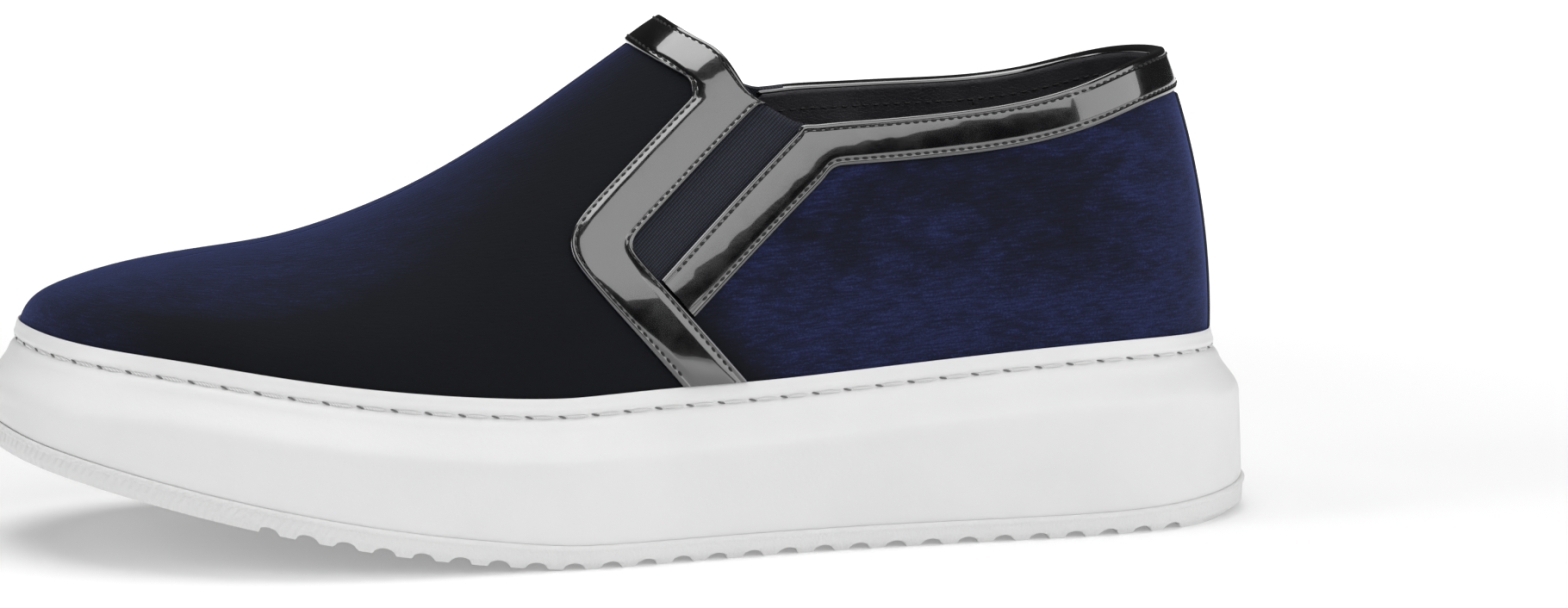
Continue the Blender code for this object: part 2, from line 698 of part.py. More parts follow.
def leg_frame(foot, end):
    # Start, direction and left-hand direction of a leg's middle line, seen from the side
    start, finish = corner_point(foot), corner_point(end)
    direction = (finish - start) / np.linalg.norm(finish - start)
    return start, direction, np.array([-direction[1], direction[0]])


def front_edges(last):
    # Outer and inner edges of the front trim: up the outer side, round the throat and down
    low, low_run, low_left = leg_frame(FRONT_FOOT, FRONT_KNEE)
    high, high_run, high_left = leg_frame(FRONT_KNEE, FRONT_LEG_END)
    half = LEG_WIDTH / 2.0
    edges = []
    for sign, corner, band, turns in ((1.0, FRONT_CORNER_OUT, THROAT_BAND, TURN_OUT),
                                      (-1.0, FRONT_CORNER_IN, 0.0, TURN_IN)):
        foot = low + low_left * sign * half
        knee = crossing(foot, low_run, high + high_left * sign * half, high_run)
        top = corner_point(corner)
        runs = []
        for inner in (False, True):
            over = open_edge(last, corner.along - band / FOOT_LENGTH, THROAT_AT, inner, band)
            leg = side_run(last, knee, top, inner)
            keep = [p for p in over if (p - leg[-1]).length > CORNER_CLEAR and p.x < leg[-1].x]
            runs.append([side_run(last, foot, knee, inner), leg, [leg[-1]] + keep])
        sides = runs[0] + [run[::-1] for run in runs[1][::-1]]
        middle = (sides[2][-1] + sides[3][0]) / 2.0
        sides[2].append(middle)
        sides[3].insert(0, middle)
        edges.append(eased_edge(last, sides, (*turns, TURN_THROAT, *turns[::-1])))
    return edges


def collar_edges(last):
    # Lower and upper edges of the collar trim: up behind the gore, round the heel and down
    foot, run, left = leg_frame(COLLAR_FOOT, COLLAR_LEG_END)
    half = LEG_WIDTH * COLLAR_LEG_SHARE / 2.0
    edges = []
    for sign, band, turn in ((-1.0, COLLAR_BAND, COLLAR_TURN[0]), (1.0, 0.0, COLLAR_TURN[1])):
        sides = []
        for inner in (False, True):
            if band:
                rise = edge_curve(COLLAR_CORNER_OUT.along)[0, 1] if inner else 0.0
                top = corner_point(COLLAR_CORNER_OUT) + np.array([0.0, rise])
            else:
                x = float(side_x(COLLAR_CORNER_AT))
                top = np.array([x, float(edge_height(x, inner)[0])])
            leg = side_run(last, foot + left * sign * half, top, inner)
            over = open_edge(last, -0.1, side_along(top[0]), inner, band)
            keep = [p for p in over if p.x > leg[-1].x + CORNER_CLEAR]
            sides.append([leg, [leg[-1]] + keep[::-1]])
        runs = sides[0] + [run[::-1] for run in sides[1][::-1]]
        edges.append(eased_edge(last, runs, (turn, TURN_HEEL, turn)))
    return edges


def build_trims(last):
    front, collar = front_edges(last), collar_edges(last)

    def clear_of_sole(point):
        return point.z > feather_height(side_along(np.array([point.x])))[0] + 2.0 * GAP

    border = np.array([tuple(p) for p in front[1][0]])

    def clear_of_front(point):
        away = np.array(point) - border
        nearest = int(np.argmin(np.linalg.norm(away, axis=1)))
        return away[nearest, 0] > 0.0 and np.linalg.norm(away[nearest]) > 2.0 * GAP

    return strip_solid(last, *front, clear_of_sole), strip_solid(last, *collar, clear_of_front)


def crossing(point, direction, other, other_direction):
    # Where two straight lines meet, seen from the side
    matrix = np.array([direction, -other_direction]).T
    share = np.linalg.solve(matrix, other - point)[0]
    return point + direction * share


def gore_patch(last, inner, grow, low, high, above):
    # Panel between the trims, grown past their edges, from one depth to another along its normals
    foot, knee, top = (corner_point(c) for c in (FRONT_FOOT, FRONT_KNEE, FRONT_LEG_END))
    collar_foot, collar_top = corner_point(COLLAR_FOOT), corner_point(COLLAR_LEG_END)
    upper_leg = (top - knee) / np.linalg.norm(top - knee)
    lower_leg = (knee - foot) / np.linalg.norm(knee - foot)
    rear_leg = (collar_top - collar_foot) / np.linalg.norm(collar_top - collar_foot)
    inset = LEG_WIDTH / 2.0 - GORE_UNDER_TRIM - grow
    front = knee + np.array([upper_leg[1], -upper_leg[0]]) * inset
    rear = collar_foot + np.array([-rear_leg[1], rear_leg[0]]) * inset
    base = foot + np.array([-lower_leg[1], lower_leg[0]]) * -inset
    low_front = crossing(front, upper_leg, base, lower_leg)
    low_rear = crossing(rear, rear_leg, base, lower_leg)

    def edge_meeting(point, direction):
        spots = point + np.linspace(0.0, INSTEP_HEIGHT, 1201)[:, None] * direction
        over = spots[:, 1] - edge_height(spots[:, 0], inner)
        return spots[int(np.argmax(over > 0.0))]

    high_front, high_rear = edge_meeting(low_front, upper_leg), edge_meeting(low_rear, rear_leg)
    wide, tall = 5, 9
    under, over = [], []
    for r in range(tall):
        for c in range(wide):
            across = c / (wide - 1.0)
            bottom = low_front + (low_rear - low_front) * across
            x = high_front[0] + (high_rear[0] - high_front[0]) * across
            edge = np.array([x, edge_height(x, inner)[0]])
            up = r / (tall - 1.0) * (1.0 + above / np.linalg.norm(edge - bottom))
            spot, normal = last.from_side(*(bottom + (edge - bottom) * up), inner)
            under.append(spot + normal * low)
            over.append(spot + normal * high)
    return slab(under, over, tall, wide)


def build():
    remove_scene_objects()
    rubber = material("white rubber", (0.80, 0.80, 0.79), 0.55)
    tread = material("tread rubber", (0.74, 0.74, 0.72), 0.70)
    velvet = material("navy velvet", (0.008, 0.010, 0.028), 0.90)
    patent = material("black patent", (0.006, 0.006, 0.007), 0.16, 1.0)
    elastic = material("navy elastic", (0.010, 0.012, 0.022), 0.85)
    leather = material("black leather", (0.012, 0.012, 0.012), 0.55)

    last = LastSurface()
    sole_places = ring_places(with_throat=False)
    rings = outsole_rings(sole_places)
    reach = np.vstack(rings)
    centre = np.array([(reach[:, 0].min() + reach[:, 0].max()) / 2.0,
                       (reach[:, 1].min() + reach[:, 1].max()) / 2.0, 0.0])

    outsole = place_object("outsole", *ringed_solid(rings), tread, centre)
    lugs = place_object("lug_notches", *lug_cutters(), tread, centre)
    pads = place_object("pads", *standing_pads(), tread, centre)
    combine(outsole, pads, "UNION")
    combine(outsole, lugs, "DIFFERENCE")
    place_object("midsole", *ringed_solid(cupsole_rings(sole_places)), rubber, centre)
    place_object("insole", *ringed_solid(insole_rings(sole_places)), leather, centre)

    upper = place_object("upper", *upper_sheet(ring_places()), velvet, centre)
    solidify = upper.modifiers.new("wall", "SOLIDIFY")
    solidify.thickness = WALL
    solidify.offset = -1.0
    solidify.use_even_offset = False
    solidify.use_rim = True
    upper.modifiers.new("flat faces", "TRIANGULATE")
    for side, inner in (("lateral", False), ("medial", True)):
        panel = gore_patch(last, inner, 0.0, -GORE_SUNK - GORE_THICKNESS, -GORE_SUNK, 0.0)
        place_object("gore_" + side, *panel, elastic, centre)
        slot = gore_patch(last, inner, GAP, -3.0 * WALL, 2.0 * WALL, 2.0 * WALL)
        combine(upper, place_object("gore_slot_" + side, *slot, velvet, centre), "DIFFERENCE")

    front_solid, collar_solid = build_trims(last)
    place_object("front_trim", *front_solid, patent, centre)
    place_object("collar_trim", *collar_solid, patent, centre)


build()
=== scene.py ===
import math
from collections import namedtuple

import bmesh
import bpy
import numpy as np
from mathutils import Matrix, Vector
from mathutils.bvhtree import BVHTree
from mathutils.interpolate import poly_3d_calc


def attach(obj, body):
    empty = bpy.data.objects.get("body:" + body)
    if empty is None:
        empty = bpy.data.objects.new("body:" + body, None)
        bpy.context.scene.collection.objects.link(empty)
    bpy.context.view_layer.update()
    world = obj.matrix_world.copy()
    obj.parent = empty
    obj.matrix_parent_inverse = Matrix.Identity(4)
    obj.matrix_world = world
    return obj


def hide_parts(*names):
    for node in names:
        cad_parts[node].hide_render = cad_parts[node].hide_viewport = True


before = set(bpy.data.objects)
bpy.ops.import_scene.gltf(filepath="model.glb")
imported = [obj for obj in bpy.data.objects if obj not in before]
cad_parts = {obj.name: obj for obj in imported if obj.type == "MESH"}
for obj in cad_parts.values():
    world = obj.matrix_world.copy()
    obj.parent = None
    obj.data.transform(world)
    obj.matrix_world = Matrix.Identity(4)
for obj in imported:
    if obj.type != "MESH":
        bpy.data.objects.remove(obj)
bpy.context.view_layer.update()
mm = 0.001


# The last and the sole's outline, as the shoemaker's named sizes

last = {
    "length": 0.258, "ballWidth": 0.0900, "heelWidth": 0.0585, "instep": 0.0735,
    "collar": 0.0528, "back": 0.0605, "medialRise": 0.0028, "throatAt": 0.467,
    "widthsBlendFrom": 0.30, "widthsBlendTo": 0.55,
}
sole = {
    "platform": 0.0400, "toeSpring": 0.0224, "springStarts": 0.57, "springPower": 1.5,
    "outset": 0.0071, "band": 0.0153, "strip": 0.0054, "ridgeProud": 0.0007,
    "bevel": 0.0008, "bevelHeight": 0.0021, "heelBevel": 0.0034,
    "wallFootOut": 1.085, "wallFootHeight": 0.0016, "tuck": 0.0050,
}
heelX = last["length"] / 2.0

# along, ridgeAt: shares of the length from the heel; lateral, medial: half widths; thick: sole;
# strip, flare: tread edge and outset; rise, lean, swell, reach, drop: curve up to the ridge
Section = namedtuple("Section", "along lateral medial thick strip flare ridgeAt rise lean swell reach drop")
sections = (
    Section(1.00, -0.085, 0.085, 0.630, 1.15, 1.00, 0.905, 0.46, -0.022, 0.000, 0.80, 0.00),
    Section(0.98, 0.145, 0.245, 0.653, 1.05, 1.00, 0.897, 0.50, -0.016, 0.000, 0.79, 0.00),
    Section(0.94, 0.290, 0.365, 0.698, 1.00, 0.97, 0.872, 0.54, -0.004, 0.000, 0.75, 0.00),
    Section(0.88, 0.400, 0.445, 0.760, 1.00, 0.93, 0.835, 0.55, 0.006, 0.000, 0.67, 0.00),
    Section(0.82, 0.467, 0.478, 0.797, 1.00, 0.90, 0.790, 0.52, 0.008, 0.000, 0.60, 0.00),
    Section(0.75, 0.505, 0.483, 0.828, 1.00, 0.87, 0.735, 0.50, 0.008, 0.002, 0.60, 0.00),
    Section(0.70, 0.511, 0.467, 0.847, 1.00, 0.87, 0.690, 0.47, 0.006, 0.008, 0.60, 0.00),
    Section(0.62, 0.497, 0.420, 0.870, 0.98, 0.87, 0.615, 0.43, 0.004, 0.024, 0.58, 0.00),
    Section(0.55, 0.482, 0.380, 0.890, 0.94, 0.87, 0.550, 0.40, 0.002, 0.040, 0.56, 0.00),
    Section(0.50, 0.485, 0.370, 0.900, 0.93, 0.87, 0.500, 0.38, 0.000, 0.050, 0.55, 0.00),
    Section(0.45, 0.490, 0.368, 0.905, 0.93, 0.87, 0.455, 0.36, 0.000, 0.054, 0.55, 0.00),
    Section(0.40, 0.500, 0.385, 0.913, 0.93, 0.87, 0.400, 0.35, 0.000, 0.052, 0.60, 0.02),
    Section(0.35, 0.520, 0.415, 0.930, 0.93, 0.87, 0.345, 0.34, 0.006, 0.042, 0.72, 0.06),
    Section(0.25, 0.538, 0.487, 0.975, 0.93, 0.87, 0.270, 0.32, 0.014, 0.014, 0.92, 0.14),
    Section(0.15, 0.505, 0.496, 1.015, 0.93, 0.88, 0.200, 0.30, 0.018, 0.000, 1.00, 0.22),
    Section(0.08, 0.435, 0.435, 1.025, 1.00, 0.93, 0.165, 0.28, 0.014, 0.000, 0.95, 0.28),
    Section(0.03, 0.290, 0.290, 1.012, 1.20, 1.00, 0.145, 0.265, 0.008, 0.000, 0.85, 0.32),
    Section(0.00, 0.000, 0.000, 0.995, 1.39, 1.00, 0.139, 0.263, 0.004, 0.000, 0.81, 0.337),
)

Ridge = namedtuple("Ridge", "along height across")
ridges = (
    Ridge(0.139, 1.350, 0.000), Ridge(0.300, 1.270, 0.000), Ridge(0.410, 1.120, 0.000),
    Ridge(0.467, 1.000, 0.002), Ridge(0.523, 0.868, 0.006), Ridge(0.567, 0.765, 0.010),
    Ridge(0.610, 0.663, 0.018), Ridge(0.653, 0.561, 0.028), Ridge(0.697, 0.467, 0.036),
    Ridge(0.740, 0.388, 0.042), Ridge(0.783, 0.322, 0.045), Ridge(0.826, 0.272, 0.046),
    Ridge(0.869, 0.226, 0.046), Ridge(0.905, 0.188, 0.046),
)

Edge = namedtuple("Edge", "along back collar instep rise")
topline = (
    Edge(0.000, 1.00, 0.00, 0.00, 0.0), Edge(0.040, 1.00, 0.00, 0.00, 0.0),
    Edge(0.085, 0.60, 0.43, 0.00, -0.5), Edge(0.130, 0.25, 0.77, 0.00, -0.5),
    Edge(0.180, 0.00, 1.01, 0.00, -0.1), Edge(0.250, 0.00, 0.99, 0.00, 0.5),
    Edge(0.310, 0.00, 0.99, 0.00, 0.8), Edge(0.352, 0.00, 0.99, 0.00, 0.9),
    Edge(0.374, 0.00, 1.00, 0.00, 0.8), Edge(0.395, 0.00, 0.90, 0.115, 0.5),
    Edge(0.411, 0.00, 0.55, 0.415, 0.2), Edge(0.427, 0.00, 0.20, 0.76, 0.0),
    Edge(0.446, 0.00, 0.05, 0.92, 0.0), Edge(0.467, 0.00, 0.00, 1.00, 0.0),
)


def cubicSpline(knots, values, period=0.0):
    # Smooth curve through the values, closed when a period is given
    knots, values = np.asarray(knots, float), np.asarray(values, float)
    if values.ndim == 1:
        values = values[:, None]
    count = len(knots)
    if period:
        knots = np.append(knots, knots[0] + period)
        values = np.vstack([values, values[:1]])
    step = np.diff(knots)
    slope = np.diff(values, axis=0) / step[:, None]
    matrix, right = np.zeros((count, count)), np.zeros((count, values.shape[1]))
    for i in range(count):
        if not period and i in (0, count - 1):
            matrix[i, i] = 1.0
            continue
        before = (i - 1) % len(step)
        matrix[i, (i - 1) % count] += step[before]
        matrix[i, i] += 2.0 * (step[before] + step[i])
        matrix[i, (i + 1) % count] += step[i]
        right[i] = 6.0 * (slope[i] - slope[before])
    bend = np.linalg.solve(matrix, right)
    if period:
        bend = np.vstack([bend, bend[:1]])

    def evaluate(at):
        at = np.atleast_1d(np.asarray(at, float))
        inside = (at - knots[0]) % period + knots[0] if period else np.clip(at, knots[0], knots[-1])
        i = np.clip(np.searchsorted(knots, inside, side="right") - 1, 0, len(step) - 1)
        a = (inside - knots[i])[:, None]
        b = step[i][:, None] - a
        curve = (bend[i] * b ** 3 + bend[i + 1] * a ** 3) / (6.0 * step[i][:, None])
        line = (values[i] * b + values[i + 1] * a) / step[i][:, None]
        pull = (bend[i] * b + bend[i + 1] * a) * step[i][:, None] / 6.0
        end = np.where((at < inside)[:, None], slope[0] - step[0] * bend[1] / 6.0,
                       slope[-1] + step[-1] * bend[-2] / 6.0)
        return curve + line - pull + (0.0 if period else (at - inside)[:, None] * end)

    return evaluate


def toeSpring(along):
    share = np.clip((np.asarray(along) - sole["springStarts"]) / (1.0 - sole["springStarts"]), 0.0, None)
    return sole["toeSpring"] * share ** sole["springPower"]


def localWidth(along):
    span = last["widthsBlendTo"] - last["widthsBlendFrom"]
    mix = np.clip((along - last["widthsBlendFrom"]) / span, 0.0, 1.0)
    return last["heelWidth"] + (last["ballWidth"] - last["heelWidth"]) * mix


def sideX(along):
    return heelX - last["length"] * np.asarray(along)


def sideAlong(x):
    return (heelX - x) / last["length"]


def loopRows():
    # The sections as a closed loop: outer side from toe to heel, then the inner side back
    outer = [(s, -s.lateral * localWidth(s.along), 0.0) for s in sections]
    inner = [(s, s.medial * localWidth(s.along), s.swell) for s in sections]
    chords = [0.0]
    for i in range(1, len(sections)):
        run = last["length"] * (sections[i - 1].along - sections[i].along)
        chords.append(chords[-1] + sum(np.hypot(run, side[i][1] - side[i - 1][1])
                                       for side in (outer, inner)) / 2.0)
    places = [c / chords[-1] for c in chords]
    back = list(range(len(sections) - 2, 0, -1))
    knots = places + [2.0 - places[i] for i in back]
    values = [(s.along, y, s.thick, s.strip, s.flare, s.ridgeAt, s.rise, s.lean, swell, s.reach, s.drop)
              for s, y, swell in outer + [inner[i] for i in back]]
    return knots, values


loopCurve = cubicSpline(*loopRows(), period=2.0)
thickCurve = cubicSpline([s.along for s in sections[::-1]], [s.thick for s in sections[::-1]])
ridgeCurve = cubicSpline([r.along for r in ridges], [(r.height, r.across) for r in ridges])
edgeCurve = cubicSpline([e.along for e in topline],
                        [(e.back * last["back"] + e.collar * last["collar"] + e.instep * last["instep"],
                          e.rise * last["medialRise"]) for e in topline])


def featherHeight(along):
    return toeSpring(along) + sole["platform"] * thickCurve(along)[:, 0]


def ridgePoint(along):
    height, across = ridgeCurve(along).T
    z = featherHeight(along) + last["instep"] * height
    return np.stack([sideX(along), last["ballWidth"] * across, z], axis=1)


def edgeHeight(x, inner):
    along = sideAlong(np.atleast_1d(x))
    height, rise = edgeCurve(along).T
    return featherHeight(along) + height + np.where(inner, rise, 0.0)


def outline(places):
    # Feather line, where upper meets sole, and its outward direction in plan
    places = np.atleast_1d(np.asarray(places, float))
    near = 1e-4
    row, ahead, behind = loopCurve(places), loopCurve(places + near), loopCurve(places - near)
    run = np.stack([sideX(ahead[:, 0]) - sideX(behind[:, 0]), ahead[:, 1] - behind[:, 1]], axis=1)
    out = np.stack([run[:, 1], -run[:, 0], np.zeros(len(places))], axis=1)
    out /= np.linalg.norm(out, axis=1)[:, None]
    height = toeSpring(row[:, 0]) + sole["platform"] * row[:, 2]
    foot = np.stack([sideX(row[:, 0]), row[:, 1], height], axis=1)
    return row, foot, out


def columns(places):
    # Four control points of each column of the last, from the feather line up to the ridge
    row, foot, out = outline(places)
    top = ridgePoint(row[:, 5])
    near = 1e-3
    slope = ridgePoint(row[:, 5] - near)[:, 2] - ridgePoint(row[:, 5] + near)[:, 2]
    slope /= 2.0 * near * last["length"]
    height = (top - foot)[:, 2]
    low = foot + out * ((row[:, 7] + row[:, 8]) * last["ballWidth"])[:, None]
    low[:, 2] += row[:, 6] * height
    high = top + row[:, 9][:, None] * (foot - top) + out * (row[:, 8] * last["ballWidth"])[:, None]
    high[:, 2] = top[:, 2] + slope * (high - top)[:, 0] - row[:, 10] * height
    return foot, low, high, top


def onColumns(controls, shares):
    v = np.asarray(shares, float)[:, None]
    foot, low, high, top = controls
    return foot * (1 - v) ** 3 + 3 * low * v * (1 - v) ** 2 + 3 * high * v ** 2 * (1 - v) + top * v ** 3


def findThroat():
    low, high = 0.0, 1.0
    for _ in range(40):
        middle = (low + high) / 2.0
        low, high = (middle, high) if loopCurve(middle)[0, 5] > last["throatAt"] else (low, middle)
    return high


throat = findThroat()


def topShares(places, below=0.0):
    # How far up each column the opening's edge lies, less a margin; 1 where the vamp closes
    controls = columns(places)
    shares = np.ones(len(places))
    samples = np.linspace(0.15, 1.0, 341)
    for i, place in enumerate(places):
        if min(place % 2.0, 2.0 - place % 2.0) <= throat + 1e-9:
            continue
        points = onColumns(tuple(np.repeat(c[i:i + 1], len(samples), axis=0) for c in controls), samples)
        over = points[:, 2] - edgeHeight(points[:, 0], place % 2.0 > 1.0) + below
        k = int(np.argmax(over > 0.0))
        if k:
            shares[i] = samples[k - 1] + (samples[k] - samples[k - 1]) * over[k - 1] / (over[k - 1] - over[k])
    return shares


def soleCentre():
    # The CAD stands centred on its outsole
    places = np.linspace(0.0, 2.0, 2001)
    row = outline(places)[0]
    ring = soleRing(places, sole["outset"] * row[:, 4] * sole["wallFootOut"] + sole["ridgeProud"], 0.0)
    return np.array([(ring[:, 0].min() + ring[:, 0].max()) / 2.0,
                     (ring[:, 1].min() + ring[:, 1].max()) / 2.0, 0.0])


def soleRing(places, out, height):
    foot, outward = outline(places)[1:]
    ring = foot + outward * np.broadcast_to(out, len(places))[:, None]
    ring[:, 2] = height(sideAlong(ring[:, 0])) if callable(height) else height
    return ring


centre = soleCentre()


def evenPlaces(step, out=0.0):
    # Places round the loop at even steps, each outer one paired with an inner one
    spots = np.linspace(0.0, 2.0, 8001)
    ring = soleRing(spots, out, 0.0)
    run = np.concatenate([[0.0], np.cumsum(np.linalg.norm(np.diff(ring[:, :2], axis=0), axis=1))])
    middle = np.interp(1.0, spots, run)
    half = int(round(middle / step))
    outer = np.interp(np.linspace(0.0, middle, half + 1), run, spots)
    inner = np.interp(np.linspace(middle, run[-1], half + 1), run, spots)
    return np.concatenate([outer, inner[1:-1]])


print("sizes and outline ready")


# Mesh helpers

def makePiece(name, points, faces, finish, replaced=(), slotName=None, uv=None, sharp=40.0, merge=1e-6):
    mesh = bpy.data.meshes.new(name)
    mesh.from_pydata([tuple(p) for p in np.asarray(points) - centre], [], faces)
    if uv is not None:
        layer = mesh.uv_layers.new(name="run")
        corners = np.zeros(len(mesh.loops), int)
        mesh.loops.foreach_get("vertex_index", corners)
        layer.data.foreach_set("uv", np.asarray(uv, float)[corners].ravel())
    form = bmesh.new()
    form.from_mesh(mesh)
    bmesh.ops.remove_doubles(form, verts=form.verts[:], dist=merge)
    bmesh.ops.dissolve_degenerate(form, edges=form.edges[:], dist=merge)
    bmesh.ops.recalc_face_normals(form, faces=form.faces[:])
    form.to_mesh(mesh)
    form.free()
    mesh.materials.append(finish)
    mesh.shade_smooth()
    mesh.set_sharp_from_angle(angle=math.radians(sharp))
    piece = bpy.data.objects.new(name, mesh)
    bpy.context.scene.collection.objects.link(piece)
    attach(piece, "root")
    if replaced:
        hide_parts(*replaced)
    return piece


def gridFaces(rows, count, closed):
    j = (np.arange(count if closed else count - 1) + 1) % count
    i = np.arange(len(j))
    faces = []
    for r in range(rows - 1):
        a, b = r * count, (r + 1) * count
        faces += np.stack([a + i, a + j, b + j, b + i], axis=1).tolist()
    return faces


def shifted(faces, base):
    return [[base + i for i in face] for face in faces]


def betweenSides(ring, across):
    # Rungs from the outer to the inner side of a ring: a grid of points
    half = len(ring) // 2
    left = ring[:half + 1]
    right = np.vstack([ring[:1], ring[:half - 1:-1]])
    share = np.linspace(0.0, 1.0, across)[:, None, None]
    return left[None] * (1.0 - share) + right[None] * share


def gridNormals(grid, closed=True):
    if closed:
        around = np.roll(grid, -1, axis=1) - np.roll(grid, 1, axis=1)
    else:
        around = np.gradient(grid, axis=1)
    normals = np.cross(around, np.gradient(grid, axis=0))
    return normals / np.maximum(np.linalg.norm(normals, axis=2, keepdims=True), 1e-12)


def smoothStep(x, low, high):
    t = np.clip((np.asarray(x, float) - low) / (high - low), 0.0, 1.0)
    return t * t * (3.0 - 2.0 * t)


class LastSurface:
    # The last as a fine sheet, for laying strips, panels and thread on it
    def __init__(self, count=520, rows=110):
        places = np.linspace(0.0, 2.0, count, endpoint=False)
        controls = columns(places)
        below = [controls[0] - np.array([0.0, 0.0, 3.0 * sole["tuck"]])]
        grid = np.array(below + [onColumns(controls, np.full(count, s)) for s in np.linspace(0.0, 1.0, rows)])
        self.faces = gridFaces(len(grid), count, True)
        self.points = [Vector(p) for p in grid.reshape(-1, 3)]
        self.normals = [Vector(n) for n in gridNormals(grid).reshape(-1, 3)]
        self.tree = BVHTree.FromPolygons(self.points, self.faces)

    def smoothNormal(self, spot, index):
        corners = self.faces[index]
        shares = poly_3d_calc([self.points[c] for c in corners], spot)
        normal = Vector((0.0, 0.0, 0.0))
        for share, corner in zip(shares, corners):
            normal += share * self.normals[corner]
        return normal.normalized()

    def nearest(self, point):
        spot, _, index, _ = self.tree.find_nearest(Vector(point))
        return spot, self.smoothNormal(spot, index)

    def fromSide(self, x, z, inner):
        start = 2.0 * last["ballWidth"] * (1.0 if inner else -1.0)
        inward = Vector((0.0, -1.0 if inner else 1.0, 0.0))
        spot, _, index, _ = self.tree.ray_cast(Vector((x, start, z)), inward)
        return spot, self.smoothNormal(spot, index)

    def fromBehind(self, y, z):
        start = Vector((heelX + 0.05, y, z))
        spot, _, index, _ = self.tree.ray_cast(start, Vector((-1.0, 0.0, 0.0)))
        return spot, self.smoothNormal(spot, index)


lastSurface = LastSurface()


def threadLine(path, normals, thread):
    # Stitches along a path: short bent ovals, a pitch apart, their ends dipping in
    length = np.concatenate([[0.0], np.cumsum(np.linalg.norm(np.diff(path, axis=0), axis=1))])
    count = max(1, int(length[-1] / thread["pitch"]))
    spare = (length[-1] - count * thread["pitch"]) / 2.0
    rings, sides = thread.get("rings", 7), thread.get("sides", 7)
    points, faces = [], []
    for k in range(count):
        middle = spare + (k + 0.5) * thread["pitch"]
        at = middle + np.linspace(-0.5, 0.5, rings) * thread["length"]
        spine = np.stack([np.interp(at, length, path[:, j]) for j in range(3)], axis=1)
        up = np.stack([np.interp(at, length, normals[:, j]) for j in range(3)], axis=1)
        up /= np.linalg.norm(up, axis=1)[:, None]
        along = np.gradient(spine, axis=0)
        along /= np.maximum(np.linalg.norm(along, axis=1)[:, None], 1e-12)
        side = np.cross(along, up)
        turn = math.radians(thread.get("slant", 0.0))
        arch = 1.0 - np.linspace(-1.0, 1.0, rings) ** 2
        thick = thread["radius"] * np.sqrt(np.clip(0.12 + 0.88 * arch, 0.0, 1.0))
        slide = side * (np.linspace(-0.5, 0.5, rings) * thread["length"] * math.tan(turn))[:, None]
        lift = up * (thread["lift"] - thread["dip"] * (1.0 - arch))[:, None]
        faces += shifted(gridFaces(rings, sides, True), len(points))
        faces += [[len(points) + end * sides + s for s in range(sides)] for end in (0, rings - 1)]
        for r in range(rings):
            for s in range(sides):
                angle = 2.0 * math.pi * s / sides
                points.append(spine[r] + slide[r] + lift[r]
                              + (side[r] * math.cos(angle) + up[r] * math.sin(angle)) * thick[r])
    return points, faces


def joinParts(parts):
    points, faces = [], []
    for somePoints, someFaces in parts:
        faces += shifted(someFaces, len(points))
        points += list(somePoints)
    return points, faces


def closedForm(rings, sheets):
    # Rings joined all round, and the sheets that close them
    parts = [([tuple(p) for ring in rings for p in ring], gridFaces(len(rings), len(rings[0]), True))]
    for sheet in sheets:
        parts.append(([tuple(p) for p in sheet.reshape(-1, 3)], gridFaces(*sheet.shape[:2], False)))
    return joinParts(parts)


def slabFaces(tall, wide):
    # Two equal sheets, one after the other in the list of points, and the wall between their edges
    size = tall * wide
    faces = gridFaces(tall, wide, False)
    faces += shifted(faces, size)
    border = list(range(wide)) + [r * wide + wide - 1 for r in range(1, tall)]
    border += [(tall - 1) * wide + i for i in range(wide - 2, -1, -1)]
    border += [r * wide for r in range(tall - 2, 0, -1)]
    return faces + [[start, end, size + end, size + start]
                    for start, end in zip(border, border[1:] + border[:1])]


# Finishes

def addNode(tree, kind, inputs=None, **settings):
    node = tree.nodes.new(kind)
    for key, value in settings.items():
        setattr(node, key, value)
    for key, value in (inputs or {}).items():
        if isinstance(value, bpy.types.NodeSocket):
            tree.links.new(value, node.inputs[key])
        else:
            node.inputs[key].default_value = value
    return node


def newFinish(name, colour, roughness, **sockets):
    finish = bpy.data.materials.new(name)
    finish.use_nodes = True
    finish.diffuse_color = (*colour, 1.0)
    shader = finish.node_tree.nodes["Principled BSDF"]
    shader.inputs["Base Color"].default_value = (*colour, 1.0)
    shader.inputs["Roughness"].default_value = roughness
    for key, value in sockets.items():
        shader.inputs[key.replace("_", " ")].default_value = value
    return finish, finish.node_tree, shader


def noise(tree, vector, scale, detail=3.0, roughness=0.55, distortion=0.0):
    return addNode(tree, "ShaderNodeTexNoise", {"Vector": vector, "Scale": scale, "Detail": detail,
                                                "Roughness": roughness, "Distortion": distortion}).outputs[0]


def stretch(tree, vector, scale, turn=0.0):
    return addNode(tree, "ShaderNodeMapping", {"Vector": vector, "Scale": scale,
                                               "Rotation": (0.0, 0.0, math.radians(turn))}).outputs[0]


def soften(tree, value, low, high, toLow=0.0, toHigh=1.0):
    return addNode(tree, "ShaderNodeMapRange", {"Value": value, "From Min": low, "From Max": high,
                                                "To Min": toLow, "To Max": toHigh},
                   interpolation_type="SMOOTHSTEP").outputs[0]


def calculate(tree, operation, first, second):
    return addNode(tree, "ShaderNodeMath", {0: first, 1: second}, operation=operation).outputs[0]


def times(tree, first, second):
    return calculate(tree, "MULTIPLY", first, second)


def bands(tree, vector, pitch, direction="X", inputs=None):
    # Blender's bands repeat 20 times in two pi
    inputs = {"Vector": vector, "Scale": math.pi / (10.0 * pitch), **(inputs or {})}
    node = addNode(tree, "ShaderNodeTexWave", inputs, wave_type="BANDS", bands_direction=direction)
    return node.outputs["Fac"]


def mixColours(tree, share, first, second):
    node = addNode(tree, "ShaderNodeMix", data_type="RGBA")
    for index, value in ((0, share), (6, first), (7, second)):
        if isinstance(value, bpy.types.NodeSocket):
            tree.links.new(value, node.inputs[index])
        else:
            node.inputs[index].default_value = value if index == 0 else (*value, 1.0)
    return node.outputs[2]


